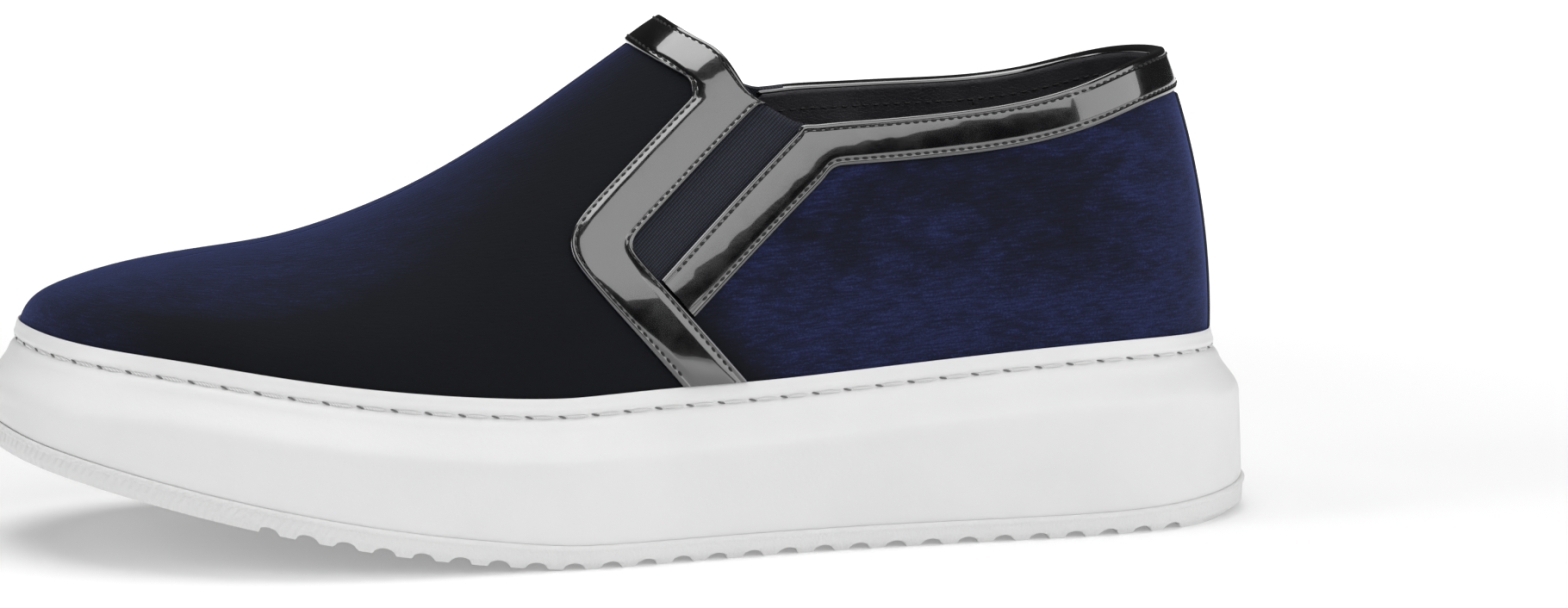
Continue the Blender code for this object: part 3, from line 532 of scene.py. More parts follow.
def addBump(tree, shader, height, distance, strength=1.0, socket="Normal", before=None):
    inputs = {"Height": height, "Distance": distance, "Strength": strength}
    if before is not None:
        inputs["Normal"] = before
    bump = addNode(tree, "ShaderNodeBump", inputs)
    tree.links.new(bump.outputs[0], shader.inputs[socket])
    return bump.outputs[0]


def places3d(tree):
    return addNode(tree, "ShaderNodeTexCoord").outputs["Object"]


def runCoords(tree):
    return addNode(tree, "ShaderNodeUVMap", uv_map="run").outputs[0]


velvet = {
    "deep": (0.0036, 0.0042, 0.0062), "blue": (0.0130, 0.0180, 0.0660), "bright": (0.0235, 0.0325, 0.1250),
    "sheen": 0.34, "sheenTint": (0.22, 0.31, 1.0), "sheenRoughness": 0.30,
    # Where the quarter begins, behind the trims' bent line
    "kneeHeight": 0.070, "trimSlope": 0.95, "quarterFrom": -0.012, "quarterTo": 0.004,
    # How light each area's pile stands; the back, crown and toe amounts instead paint a sheen highlight, on
    # the heel's turn, where the surface faces up and over the toe
    "patchLight": 0.62, "leastLight": 0.16, "backPaintedSheen": 0.84, "hemLight": 0.72,
    "crownPaintedSheen": 0.34, "toePaintedSheen": 0.45,
    "backFrom": 0.070, "backTo": 0.130, "hemFrom": 0.072, "hemTo": 0.048,
    "toeLightFrom": -0.098, "toeLightTo": -0.134, "linesTurn": -27.0, "tips": 0.7,
}


def velvetFinish():
    finish, tree, shader = newFinish("navy velvet pile", velvet["blue"], 0.90, Specular_IOR_Level=0.20,
                                     Sheen_Weight=velvet["sheen"], Sheen_Roughness=velvet["sheenRoughness"],
                                     Sheen_Tint=(*velvet["sheenTint"], 1.0))
    spot, run = places3d(tree), runCoords(tree)
    x, _, z = addNode(tree, "ShaderNodeSeparateXYZ", {0: spot}).outputs
    normal = addNode(tree, "ShaderNodeNewGeometry").outputs["Normal"]
    upward = addNode(tree, "ShaderNodeSeparateXYZ", {0: normal}).outputs[2]
    clouds = noise(tree, stretch(tree, spot, (26.0, 26.0, 42.0)), 1.0, 4.0, 0.6, 0.8)
    strokes = noise(tree, stretch(tree, run, (70.0, 150.0, 1.0), velvet["linesTurn"]), 1.0, 4.0, 0.65, 0.5)
    lines = noise(tree, stretch(tree, run, (230.0, 1900.0, 1.0), velvet["linesTurn"]), 1.0, 2.0)
    pile = noise(tree, spot, 2400.0, 2.0)

    # The pile lies flat and dark low on the vamp and stands light over the quarter; a sheen highlight is
    # painted lighter over the heel's back, the up-facing crown and the toe
    fromKnee = calculate(tree, "ABSOLUTE", calculate(tree, "SUBTRACT", z, velvet["kneeHeight"]), 0.0)
    behind = calculate(tree, "SUBTRACT", x, times(tree, fromKnee, velvet["trimSlope"]))
    quarter = soften(tree, behind, velvet["quarterFrom"], velvet["quarterTo"])
    patches = times(tree, soften(tree, clouds, 0.36, 0.62), soften(tree, strokes, 0.30, 0.66, 0.45, 1.0))
    patches = calculate(tree, "ADD", times(tree, patches, velvet["patchLight"]), velvet["leastLight"])
    light = times(tree, quarter, patches)
    hem = soften(tree, z, velvet["hemFrom"], velvet["hemTo"])
    # Painted sheen highlights: lighter colour on the heel's back, where the surface faces up, and over the
    # toe
    for area, amount in (
        (soften(tree, x, velvet["backFrom"], velvet["backTo"]), velvet["backPaintedSheen"]),
        (times(tree, hem, quarter), velvet["hemLight"]),
        (soften(tree, upward, 0.70, 0.97), velvet["crownPaintedSheen"]),
        (soften(tree, x, velvet["toeLightFrom"], velvet["toeLightTo"]), velvet["toePaintedSheen"]),
    ):
        light = calculate(tree, "MAXIMUM", light, times(tree, area, amount))
    light = times(tree, light, soften(tree, strokes, 0.30, 0.66, 0.55, 1.20))
    light = times(tree, light, soften(tree, lines, 0.32, 0.68, 0.58, 1.38))
    light = times(tree, light, soften(tree, pile, 0.25, 0.75, 0.60, 1.40))
    # The mix share carries the pile's nap and the painted sheen highlights together
    body = mixColours(tree, light, velvet["deep"], velvet["blue"])
    tips = times(tree, soften(tree, times(tree, lines, pile), 0.28, 0.48), light)
    tree.links.new(mixColours(tree, times(tree, tips, velvet["tips"]), body, velvet["bright"]),
                   shader.inputs["Base Color"])
    height = calculate(tree, "ADD", lines, times(tree, pile, 0.7))
    first = addBump(tree, shader, height, 0.00014, 0.8)
    addBump(tree, shader, noise(tree, spot, 70.0, 3.0), 0.0006, 0.35, before=first)
    return finish


patent = {
    "colour": (0.0035, 0.0035, 0.0042), "roughness": 0.22,
    "coat": 1.0, "coatRoughness": 0.045, "coatIor": 1.85,
}


def patentFinish():
    finish, tree, shader = newFinish("black patent", patent["colour"], patent["roughness"],
                                     Coat_Weight=patent["coat"], Coat_Roughness=patent["coatRoughness"],
                                     Coat_IOR=patent["coatIor"], Specular_IOR_Level=0.6)
    spot = places3d(tree)
    tree.links.new(soften(tree, noise(tree, spot, 220.0, 3.0), 0.3, 0.8, 0.14, 0.26),
                   shader.inputs["Roughness"])
    waves = addBump(tree, shader, noise(tree, spot, 55.0, 2.0), 0.0009, 0.22)
    addBump(tree, shader, noise(tree, spot, 900.0, 2.0), 0.00003, 0.5, before=waves)
    addBump(tree, shader, noise(tree, spot, 60.0, 2.0), 0.0009, 0.27, "Coat Normal")
    return finish


elastic = {
    "dark": (0.0070, 0.0080, 0.0130), "light": (0.0265, 0.0305, 0.0490),
    "ribPitch": 0.00062, "pickPitch": 0.00042,
}


def elasticFinish():
    finish, tree, shader = newFinish("navy elastic webbing", elastic["light"], 0.82, Specular_IOR_Level=0.25,
                                     Sheen_Weight=0.10, Sheen_Roughness=0.5)
    run = runCoords(tree)
    uneven = {"Distortion": 0.5, "Detail": 1.0, "Detail Scale": 2.0}
    ribs = bands(tree, run, elastic["ribPitch"], "X", uneven)
    picks = bands(tree, run, elastic["pickPitch"], "Y", uneven)
    # Darker in the weave's hollows, where the bump sinks: painted shade, with random specks
    weave = times(tree, ribs, calculate(tree, "ADD", picks, 0.45))
    specks = calculate(tree, "ADD", noise(tree, run, 900.0, 2.0), 0.5)
    hollowShadeAndSpecks = soften(tree, times(tree, weave, specks), 0.1, 1.0)
    colour = mixColours(tree, hollowShadeAndSpecks, elastic["dark"], elastic["light"])
    tree.links.new(colour, shader.inputs["Base Color"])
    addBump(tree, shader, weave, 0.00012, 0.8)
    return finish


def leatherFinish(name, colour, roughness, pores):
    finish, tree, shader = newFinish(name, colour, roughness, Specular_IOR_Level=0.4)
    spot = places3d(tree)
    cells = addNode(tree, "ShaderNodeTexVoronoi", {"Vector": spot, "Scale": pores, "Randomness": 1.0},
                    feature="DISTANCE_TO_EDGE").outputs["Distance"]
    shade = soften(tree, noise(tree, spot, 60.0, 4.0), 0.3, 0.75)
    lighter = tuple(min(1.0, c * 1.9) for c in colour)
    tree.links.new(mixColours(tree, shade, colour, lighter), shader.inputs["Base Color"])
    tree.links.new(soften(tree, noise(tree, spot, 120.0, 3.0), 0.3, 0.8, roughness - 0.10, roughness + 0.10),
                   shader.inputs["Roughness"])
    addBump(tree, shader, soften(tree, cells, 0.0, 0.12), 0.00010, 0.6)
    return finish


rubber = {
    "white": (0.785, 0.785, 0.785), "shade": (0.750, 0.750, 0.752), "tread": (0.755, 0.755, 0.753),
    "ribPitch": 0.0016, "ribSlant": 32.0, "ribsFadeFrom": -0.050, "ribsFadeTo": -0.085,  # toe ribs
}


def rubberFinish(name, colour, shade, roughness, grain, depth, ribs=False):
    finish, tree, shader = newFinish(name, colour, roughness, Specular_IOR_Level=0.45)
    spot = places3d(tree)
    clouds = soften(tree, noise(tree, spot, 28.0, 4.0), 0.35, 0.75)
    tree.links.new(mixColours(tree, clouds, colour, shade), shader.inputs["Base Color"])
    tree.links.new(soften(tree, noise(tree, spot, 260.0, 3.0), 0.3, 0.8, roughness - 0.08, roughness + 0.10),
                   shader.inputs["Roughness"])
    height = noise(tree, spot, grain, 3.0, 0.65)
    if ribs:
        run = runCoords(tree)
        parts = addNode(tree, "ShaderNodeSeparateXYZ", {0: spot}).outputs
        slanted = stretch(tree, run, (1.0, 1.0, 1.0), rubber["ribSlant"])
        toeOnly = soften(tree, parts[0], rubber["ribsFadeFrom"], rubber["ribsFadeTo"])
        ribbed = times(tree, bands(tree, slanted, rubber["ribPitch"]), toeOnly)
        height = calculate(tree, "ADD", height, ribbed)
    addBump(tree, shader, height, depth, 0.7)
    return finish


strand = {"pitch": 0.00035, "turn": 30.0, "roughness": 0.6}


def threadFinish(name, colour):
    finish, tree, shader = newFinish(name, colour, strand["roughness"])
    turned = stretch(tree, places3d(tree), (1.0, 1.0, 1.0), strand["turn"])
    strands = bands(tree, turned, strand["pitch"], "DIAGONAL")
    # Darker along the hollows between the strands, where the bump sinks: painted shade
    strandHollowShade = tuple(c * 0.7 for c in colour)
    tree.links.new(mixColours(tree, strands, strandHollowShade, colour), shader.inputs["Base Color"])
    addBump(tree, shader, strands, 0.00008, 0.6)
    return finish


finishes = {
    "velvet": velvetFinish(),
    "patent": patentFinish(),
    "elastic": elasticFinish(),
    "lining": leatherFinish("black lining leather", (0.0290, 0.0275, 0.0330), 0.50, 1300.0),
    "binding": leatherFinish("matte black binding", (0.0055, 0.0055, 0.0060), 0.85, 1600.0),
    "insole": leatherFinish("black insole leather", (0.0100, 0.0100, 0.0105), 0.55, 1000.0),
    "white": rubberFinish("white cupsole rubber", rubber["white"], rubber["shade"], 0.42, 900.0, 0.00005),
    "tread": rubberFinish("white tread rubber", rubber["tread"], rubber["shade"], 0.60, 1500.0, 0.00022,
                          ribs=True),
    "blackThread": threadFinish("black thread", (0.0060, 0.0060, 0.0070)),
    "whiteThread": threadFinish("white thread", (0.80, 0.80, 0.80)),
    "holeShade": threadFinish("shaded stitch holes", (0.18, 0.18, 0.18)),
    "greyThread": threadFinish("charcoal thread", (0.030, 0.030, 0.032)),
}
print("finishes ready")


# Trims: corners seen from the side, as shares of length and instep height

Corner = namedtuple("Corner", "along height")
trim = {
    "frontFoot": Corner(0.428, -0.100), "frontKnee": Corner(0.553, 0.415),
    "frontLegEnd": Corner(0.430, 0.835), "frontCornerOut": Corner(0.459, 0.797),
    "frontCornerIn": Corner(0.3975, 0.797), "collarFoot": Corner(0.500, 0.195),
    "collarLegEnd": Corner(0.354, 0.665), "collarCornerOut": Corner(0.352, 0.560),
    "collarCornerAt": 0.371, "collarLegShare": 0.965,
    "turnOut": (0.0065, 0.0008), "turnIn": (0.0026, 0.0034), "turnThroat": 0.0020,
    "collarTurn": (0.0016, 0.0010), "turnHeel": 0.0010, "cornerClear": 0.0006,
    "legWidth": 0.0113, "throatBand": 0.0097, "collarBand": 0.0096,
    "thickness": 0.00100, "edgeRound": 0.00075, "crown": 0.00014, "lift": 0.00002,
    "seamIn": 0.00140, "seamInRolled": 0.00085, "seamDepth": 0.00018, "seamWidth": 0.00022,
    "rollDrop": 0.0008, "rollInside": 0.0023, "rollFade": 0.0022, "step": 0.0008,
    "clearOfSole": 0.00008, "clearOfFront": 0.00030,
}
edgeStep = 0.0005
arcSteps = 10
scanned = (0.0, 0.25, 0.5, 0.75, 1.0)


def cornerPoint(corner):
    x = float(sideX(corner.along))
    return np.array([x, float(featherHeight(np.array([corner.along]))[0]) + corner.height * last["instep"]])


def crossing(point, direction, other, otherDirection):
    share = np.linalg.solve(np.array([direction, -otherDirection]).T, other - point)[0]
    return point + direction * share


def sideRun(start, end, inner):
    count = max(2, int(np.linalg.norm(end - start) / 0.001))
    return [lastSurface.fromSide(*(start + (end - start) * k / count), inner)[0] for k in range(count + 1)]


def openEdge(first, second, inner, inset=0.0):
    # Edge of the opening on one side, heel to throat, moved onto the upper by an inset
    places = np.linspace(1.0, throat, 600)
    places = 2.0 - places if inner else places
    edge = onColumns(columns(places), topShares(places))
    along = sideAlong(edge[:, 0])
    keep = (along >= first) & (along <= second)
    points = []
    for spot, direction in zip(edge[keep], np.gradient(edge, axis=0)[keep]):
        across = np.cross(np.array(lastSurface.nearest(spot)[1]), direction)
        across *= (-1.0 if inner else 1.0) / np.linalg.norm(across)
        for _ in range(4 if inset else 1):
            spot = np.array(lastSurface.nearest(spot + across * inset / 4.0)[0])
        points.append(Vector(spot))
    return points


def easedEdge(runs, turns):
    # One long edge of a strip in even steps, its corners eased; also gives each corner's index
    points, corners = [], [0]
    for run in runs:
        line = np.array([tuple(p) for p in run])
        length = np.concatenate([[0.0], np.cumsum(np.linalg.norm(np.diff(line, axis=0), axis=1))])
        count = max(4, int(round(length[-1] / edgeStep)))
        at = np.linspace(0.0, length[-1], count + 1)[:-1]
        points.append(np.stack([np.interp(at, length, line[:, k]) for k in range(3)], axis=1))
        corners.append(corners[-1] + count)
    points = np.vstack(points + [np.array([tuple(runs[-1][-1])])])
    eased = points.copy()
    for corner, turn in zip(corners[1:-1], turns):
        reach = int(3.0 * turn / edgeStep)
        weights = np.exp(-0.5 * (np.arange(-reach, reach + 1) * edgeStep / turn) ** 2)
        weights /= weights.sum()
        for i in range(corner - reach, corner + reach + 1):
            fade = min(1.0, (reach + 1 - abs(i - corner)) / (0.4 * reach))
            window = np.clip(np.arange(i - reach, i + reach + 1), 0, len(points) - 1)
            eased[i] += fade * (weights @ points[window] - points[i])
    return [lastSurface.nearest(p)[0] for p in eased], corners


def legFrame(foot, end):
    start, finish = cornerPoint(foot), cornerPoint(end)
    direction = (finish - start) / np.linalg.norm(finish - start)
    return start, direction, np.array([-direction[1], direction[0]])


def frontEdges():
    # Outer and inner edges of the front trim: up the outer side, round the throat and down
    low, lowRun, lowLeft = legFrame(trim["frontFoot"], trim["frontKnee"])
    _, highRun, highLeft = legFrame(trim["frontKnee"], trim["frontLegEnd"])
    high, half, edges = cornerPoint(trim["frontKnee"]), trim["legWidth"] / 2.0, []
    for sign, corner, band, turns in ((1.0, trim["frontCornerOut"], trim["throatBand"], trim["turnOut"]),
                                      (-1.0, trim["frontCornerIn"], trim["rollDrop"], trim["turnIn"])):
        foot = low + lowLeft * sign * half
        knee = crossing(foot, lowRun, high + highLeft * sign * half, highRun)
        runs = []
        for inner in (False, True):
            over = openEdge(corner.along - band / last["length"], last["throatAt"], inner, band)
            leg = sideRun(knee, cornerPoint(corner), inner)
            keep = [p for p in over if (p - leg[-1]).length > trim["cornerClear"] and p.x < leg[-1].x]
            runs.append([sideRun(foot, knee, inner), leg, [leg[-1]] + keep])
        sides = runs[0] + [run[::-1] for run in runs[1][::-1]]
        middle = (sides[2][-1] + sides[3][0]) / 2.0
        sides[2].append(middle)
        sides[3].insert(0, middle)
        edges.append(easedEdge(sides, (*turns, trim["turnThroat"], *turns[::-1])))
    return edges


def collarEdges():
    # Lower and upper edges of the collar trim: up behind the gore, round the heel and down
    foot, _, left = legFrame(trim["collarFoot"], trim["collarLegEnd"])
    half, edges = trim["legWidth"] * trim["collarLegShare"] / 2.0, []
    for sign, band, turn in ((-1.0, trim["collarBand"], trim["collarTurn"][0]),
                             (1.0, trim["rollDrop"], trim["collarTurn"][1])):
        sides = []
        for inner in (False, True):
            if sign < 0.0:
                rise = edgeCurve(trim["collarCornerOut"].along)[0, 1] if inner else 0.0
                top = cornerPoint(trim["collarCornerOut"]) + np.array([0.0, rise])
            else:
                x = float(sideX(trim["collarCornerAt"]))
                top = np.array([x, float(edgeHeight(x, inner)[0]) - band])
            leg = sideRun(foot + left * sign * half, top, inner)
            over = openEdge(-0.1, sideAlong(top[0]), inner, band)
            keep = [p for p in over if p.x > leg[-1].x + trim["cornerClear"]]
            sides.append([leg, [leg[-1]] + keep[::-1]])
        runs = sides[0] + [run[::-1] for run in sides[1][::-1]]
        edges.append(easedEdge(runs, (turn, trim["turnHeel"], turn)))
    return edges


def stripProfile(width, rolled):
    # Distances from the outer edge across a strip, and its height there
    near = np.array([0.0, 0.05, 0.14, 0.28, 0.48, 0.75, 1.0, 1.18, 1.32, 1.46, 1.60, 1.80]) * mm
    inside = np.linspace(near[-1], width - near[-1], 7)[1:-1]
    d = np.concatenate([near, inside, width - near[::-1]])
    toOuter, toInner = d, width - d

    def rounded(distance):
        t = np.clip(1.0 - distance / trim["edgeRound"], 0.0, 1.0)
        return np.sqrt(1.0 - t * t)

    height = trim["thickness"] * rounded(toOuter) * (rolled + (1.0 - rolled) * rounded(toInner))
    height += trim["crown"] * np.clip(4.0 * d * (width - d) / width ** 2, 0.0, 1.0)
    innerSeam = trim["seamIn"] + (trim["seamInRolled"] - trim["seamIn"]) * rolled
    for distance, seam in ((toOuter, trim["seamIn"]), (toInner, innerSeam)):
        height -= trim["seamDepth"] * np.exp(-((distance - seam) / trim["seamWidth"]) ** 2)
    return d, height, innerSeam


def buildStrip(edges, rolledRuns, clearEnd):
    # A sewn strip: rounded edges, sunk seam lines, and a roll over the rim where it meets the opening
    (outer, outerCorners), (innerEdge, innerCorners) = edges
    runs = len(outerCorners) - 1

    def spot(run, at, share):
        ends = []
        for points, corners in ((outer, outerCorners), (innerEdge, innerCorners)):
            i = corners[run] + at * (corners[run + 1] - corners[run])
            k = min(int(i), len(points) - 2)
            ends.append(points[k].lerp(points[k + 1], i - k))
        return lastSurface.nearest(ends[0].lerp(ends[1], share)), (ends[0] - ends[1]).length

    scan = np.linspace(0.0, 0.8, 801)
    starts = {}
    for end in (0, 1):
        run = 0 if end == 0 else runs - 1
        starts[end] = [next(q for q in scan if clearEnd(spot(run, q if end == 0 else 1.0 - q, share)[0][0]))
                       for share in scanned]
    lengths = [max(outerCorners[r + 1] - outerCorners[r], innerCorners[r + 1] - innerCorners[r]) * edgeStep
               for r in range(runs)]
    ends = np.concatenate([[0.0], np.cumsum(lengths)])
    rings, seams, total = [], {"outer": [], "inner": []}, 0.0
    for run in range(runs):
        count = max(4, int(round(lengths[run] / trim["step"])))
        for j in range(count + (1 if run == runs - 1 else 0)):
            at = j / count
            total = ends[run] + at * lengths[run]
            nearRolled = min([max(ends[r] - total, total - ends[r + 1], 0.0) for r in rolledRuns])
            rolled = 1.0 - float(smoothStep(nearRolled, 0.0, trim["rollFade"]))
            width = spot(run, at, 0.5)[1]
            d, height, innerSeam = stripProfile(width, rolled)
            top, under = [], []

            def laid(share):
                q = at
                if run == 0:
                    begin = np.interp(share, scanned, starts[0])
                    q = begin + (1.0 - begin) * at
                if run == runs - 1:
                    q = q * (1.0 - np.interp(share, scanned, starts[1]))
                return spot(run, q, share)[0]

            for distance, h in zip(d, height):
                point, normal = laid(distance / width)
                top.append(point + normal * (trim["lift"] + h))
                under.append(point + normal * trim["lift"])
            upward = top[-1] - top[-3]
            upward = (upward - normal * upward.dot(normal)).normalized()
            start = trim["lift"] + height[-1]
            middle = (trim["lift"] + trim["thickness"] - trim["rollInside"]) / 2.0
            half = (trim["lift"] + trim["thickness"] + trim["rollInside"]) / 2.0
            arc = []
            for k in range(1, arcSteps + 1):
                angle = math.pi * k / arcSteps
                over = trim["rollDrop"] * math.sin(angle) ** 0.7 if k < arcSteps else 0.0
                away = middle + half * math.cos(angle) - start
                arc.append(point + (normal * away + upward * over) * rolled + normal * start)
            rings.append(top + arc + under[::-1])
            for key, distance in (("outer", trim["seamIn"]), ("inner", width - innerSeam)):
                point, normal = laid(distance / width)
                h = float(np.interp(distance, d, height))
                seams[key].append((tuple(point + normal * (trim["lift"] + h)), tuple(normal)))
    count = len(rings[0])
    points = [tuple(p) for ring in rings for p in ring]
    faces = gridFaces(len(rings), count, True)
    for start in (0, (len(rings) - 1) * count):
        faces += [[start + i, start + i + 1, start + count - 2 - i, start + count - 1 - i]
                  for i in range(count // 2 - 1)]
    return points, faces, {key: np.array(value) for key, value in seams.items()}


trimThread = {
    "pitch": 0.00190, "length": 0.00150, "radius": 0.00027, "lift": 0.00012, "dip": 0.00030, "slant": 9.0,
}


def buildTrims():
    front, collar = frontEdges(), collarEdges()
    border = np.array([tuple(p) for p in front[1][0]])

    def clearOfSole(point):
        return point.z > featherHeight(sideAlong(np.array([point.x])))[0] + trim["clearOfSole"]

    def clearOfFront(point):
        away = np.array(point) - border
        nearest = int(np.argmin(np.linalg.norm(away, axis=1)))
        return away[nearest, 0] > 0.0 and np.linalg.norm(away[nearest]) > trim["clearOfFront"]

    for name, edges, rolledRuns, clearEnd in (("front_trim", front, (2, 3), clearOfSole),
                                              ("collar_trim", collar, (1, 2), clearOfFront)):
        points, faces, seams = buildStrip(edges, rolledRuns, clearEnd)
        makePiece("patent_" + name, points, faces, finishes["patent"], (name,), "black_patent", sharp=60.0)
        thread = joinParts([threadLine(seam[4:-4, 0], seam[4:-4, 1], trimThread) for seam in seams.values()])
        makePiece(name + "_stitches", *thread, finishes["blackThread"], (), "black_patent", sharp=80.0)
        print("made", name)


buildTrims()


# Gores: elastic panels behind the trims, and the holes cut for them

gore = {"sunk": 0.00045, "thickness": 0.00125, "underTrim": 0.0022, "hem": 0.0021, "hemThick": 0.00030,
        "hemEdge": 0.0005, "lip": 0.0006, "lipDrop": 0.0003, "wide": 26, "tall": 60, "bow": 0.00025}


def goreCorners(underTrim):
    foot, knee, top = (cornerPoint(trim[k]) for k in ("frontFoot", "frontKnee", "frontLegEnd"))
    rearFoot, rearTop = cornerPoint(trim["collarFoot"]), cornerPoint(trim["collarLegEnd"])
    upperLeg = (top - knee) / np.linalg.norm(top - knee)
    lowerLeg = (knee - foot) / np.linalg.norm(knee - foot)
    rearLeg = (rearTop - rearFoot) / np.linalg.norm(rearTop - rearFoot)
    inset = trim["legWidth"] / 2.0 - underTrim
    front = knee + np.array([upperLeg[1], -upperLeg[0]]) * inset
    rear = rearFoot + np.array([-rearLeg[1], rearLeg[0]]) * inset
    base = foot + np.array([-lowerLeg[1], lowerLeg[0]]) * -inset
    lowFront, lowRear = crossing(front, upperLeg, base, lowerLeg), crossing(rear, rearLeg, base, lowerLeg)
    return lowFront, upperLeg, lowRear, rearLeg


def buildGore(side, inner):
    lowFront, upperLeg, lowRear, rearLeg = goreCorners(gore["underTrim"])

    def edgeMeeting(point, direction):
        spots = point + np.linspace(0.0, last["instep"], 1201)[:, None] * direction
        return spots[int(np.argmax(spots[:, 1] > edgeHeight(spots[:, 0], inner)))]

    highFront, highRear = edgeMeeting(lowFront, upperLeg), edgeMeeting(lowRear, rearLeg)
    wide, tall = gore["wide"], gore["tall"]
    top, under, uv = [], [], []
    for r in range(tall):
        for c in range(wide):
            across, up = c / (wide - 1.0), r / (tall - 1.0)
            bottom = lowFront + (lowRear - lowFront) * across
            x = highFront[0] + (highRear[0] - highFront[0]) * across
            edge = np.array([x, edgeHeight(x, inner)[0]])
            place = bottom + (edge - bottom) * up
            spot, normal = lastSurface.fromSide(*place, inner)
            toEdge = (1.0 - up) * np.linalg.norm(edge - bottom)
            hem = 1.0 - float(smoothStep(toEdge, gore["hem"], gore["hem"] + gore["hemEdge"]))
            lip = 1.0 - float(smoothStep(toEdge, 0.0, gore["lip"]))
            bow = gore["bow"] * math.sin(math.pi * across)
            high = -gore["sunk"] + hem * gore["hemThick"] - lip * gore["lipDrop"] + bow
            top.append(spot + normal * high)
            under.append(spot + normal * (-gore["sunk"] - gore["thickness"]))
            uv.append((across * np.linalg.norm(lowRear - lowFront), up * np.linalg.norm(edge - bottom)))
    makePiece("elastic_gore_" + side, top + under, slabFaces(tall, wide), finishes["elastic"],
              ("gore_" + side,), "navy_elastic", uv=uv + uv, sharp=50.0)


for side, inner in (("lateral", False), ("medial", True)):
    buildGore(side, inner)
print("made the gores")


# Upper and lining

upper = {
    "step": 0.00105, "rows": 84, "thickness": 0.0018, "below": 0.0010, "underTrim": 0.0031,
    "ridgeEnd": 0.892, "tipAfter": 0.006, "trimAt": 0.012, "trimNear": 0.010, "trimFar": 0.035,
    "leastTrough": 0.25, "outerUpTo": 0.012,
}
lining = {
    "step": 0.0016, "rows": 56, "depth": 0.00186, "thickness": 0.0006, "below": 0.0009, "underTrim": 0.0003,
    "seamAt": 0.081, "seamDepth": 0.00035, "facing": 0.0125, "facingStep": 0.00030,
}

# Soft troughs seen from the side: where, slant in degrees, half length, half width and depth in mm
Trough = namedtuple("Trough", "along height slant reach width depth sides")
troughs = (
    Trough(0.735, 0.18, 62.0, 11.0, 4.2, 0.55, "both"),
    Trough(0.690, 0.30, 58.0, 13.0, 4.6, 0.60, "both"),
    Trough(0.640, 0.24, 66.0, 12.0, 4.0, 0.50, "both"),
    Trough(0.585, 0.12, 40.0, 10.0, 4.0, 0.40, "outer"),
    Trough(0.820, 0.12, 30.0, 12.0, 3.6, 0.30, "both"),
    Trough(0.300, 0.36, -48.0, 14.0, 4.0, 0.45, "both"),
    Trough(0.235, 0.22, -35.0, 12.0, 4.4, 0.40, "outer"),
    Trough(0.170, 0.46, -62.0, 12.0, 3.6, 0.40, "both"),
    Trough(0.120, 0.16, -25.0, 10.0, 3.4, 0.35, "both"),
    Trough(0.340, 0.14, 20.0, 13.0, 3.4, 0.30, "outer"),
)


def dent(points):
    # Depth of the troughs at points of the upper, positive inwards
    total = np.zeros(points.shape[:-1])
    along = sideAlong(points[..., 0])
    feather = featherHeight(along.ravel()).reshape(along.shape)
    for t in troughs:
        dx = points[..., 0] - sideX(t.along)
        dz = points[..., 2] - feather - t.height * last["instep"]
        c, s = math.cos(math.radians(t.slant)), math.sin(math.radians(t.slant))
        run, across = (dx * c + dz * s) / mm, (-dx * s + dz * c) / mm
        bend = across + 0.018 * run ** 2
        shape = t.depth * mm * np.exp(-(run / t.reach) ** 2) * np.exp(-(bend / t.width) ** 2)
        side = points[..., 1] < upper["outerUpTo"] if t.sides == "outer" else np.ones(along.shape, bool)
        total += np.where(side, shape, 0.0)
    return total


def upperGrid(step, rows, below):
    places = evenPlaces(step)
    controls = columns(places)
    tops = topShares(places, below)
    tucked = [controls[0] - np.array([0.0, 0.0, sole["tuck"] * k]) for k in (1.0, 0.4)]
    shares = np.linspace(0.0, 1.0, rows) ** 0.97
    grid = np.array(tucked + [onColumns(controls, tops * s) for s in shares])
    # The columns round the toe meet in one point of the ridge
    tip = outline(places)[0][:, 5] > upper["ridgeEnd"]
    grid[-1][tip] = ridgePoint(np.array([upper["ridgeEnd"] + upper["tipAfter"]]))[0]
    around = np.concatenate([[0.0], np.cumsum(np.linalg.norm(np.diff(controls[0], axis=0), axis=1))])
    steps = np.linalg.norm(np.diff(grid, axis=0), axis=2)
    upward = np.concatenate([np.zeros((1, len(places))), np.cumsum(steps, axis=0)])
    uv = np.stack([np.broadcast_to(around, upward.shape), upward], axis=2)
    normals = gridNormals(grid)
    tipNormal = normals[-3][tip].mean(axis=0)
    normals[-1][tip] = tipNormal / np.linalg.norm(tipNormal)
    return places, grid, uv, normals


goreHole = {"rearmost": 0.055, "foremost": -0.035, "lowest": 0.006, "inside": 0.02}


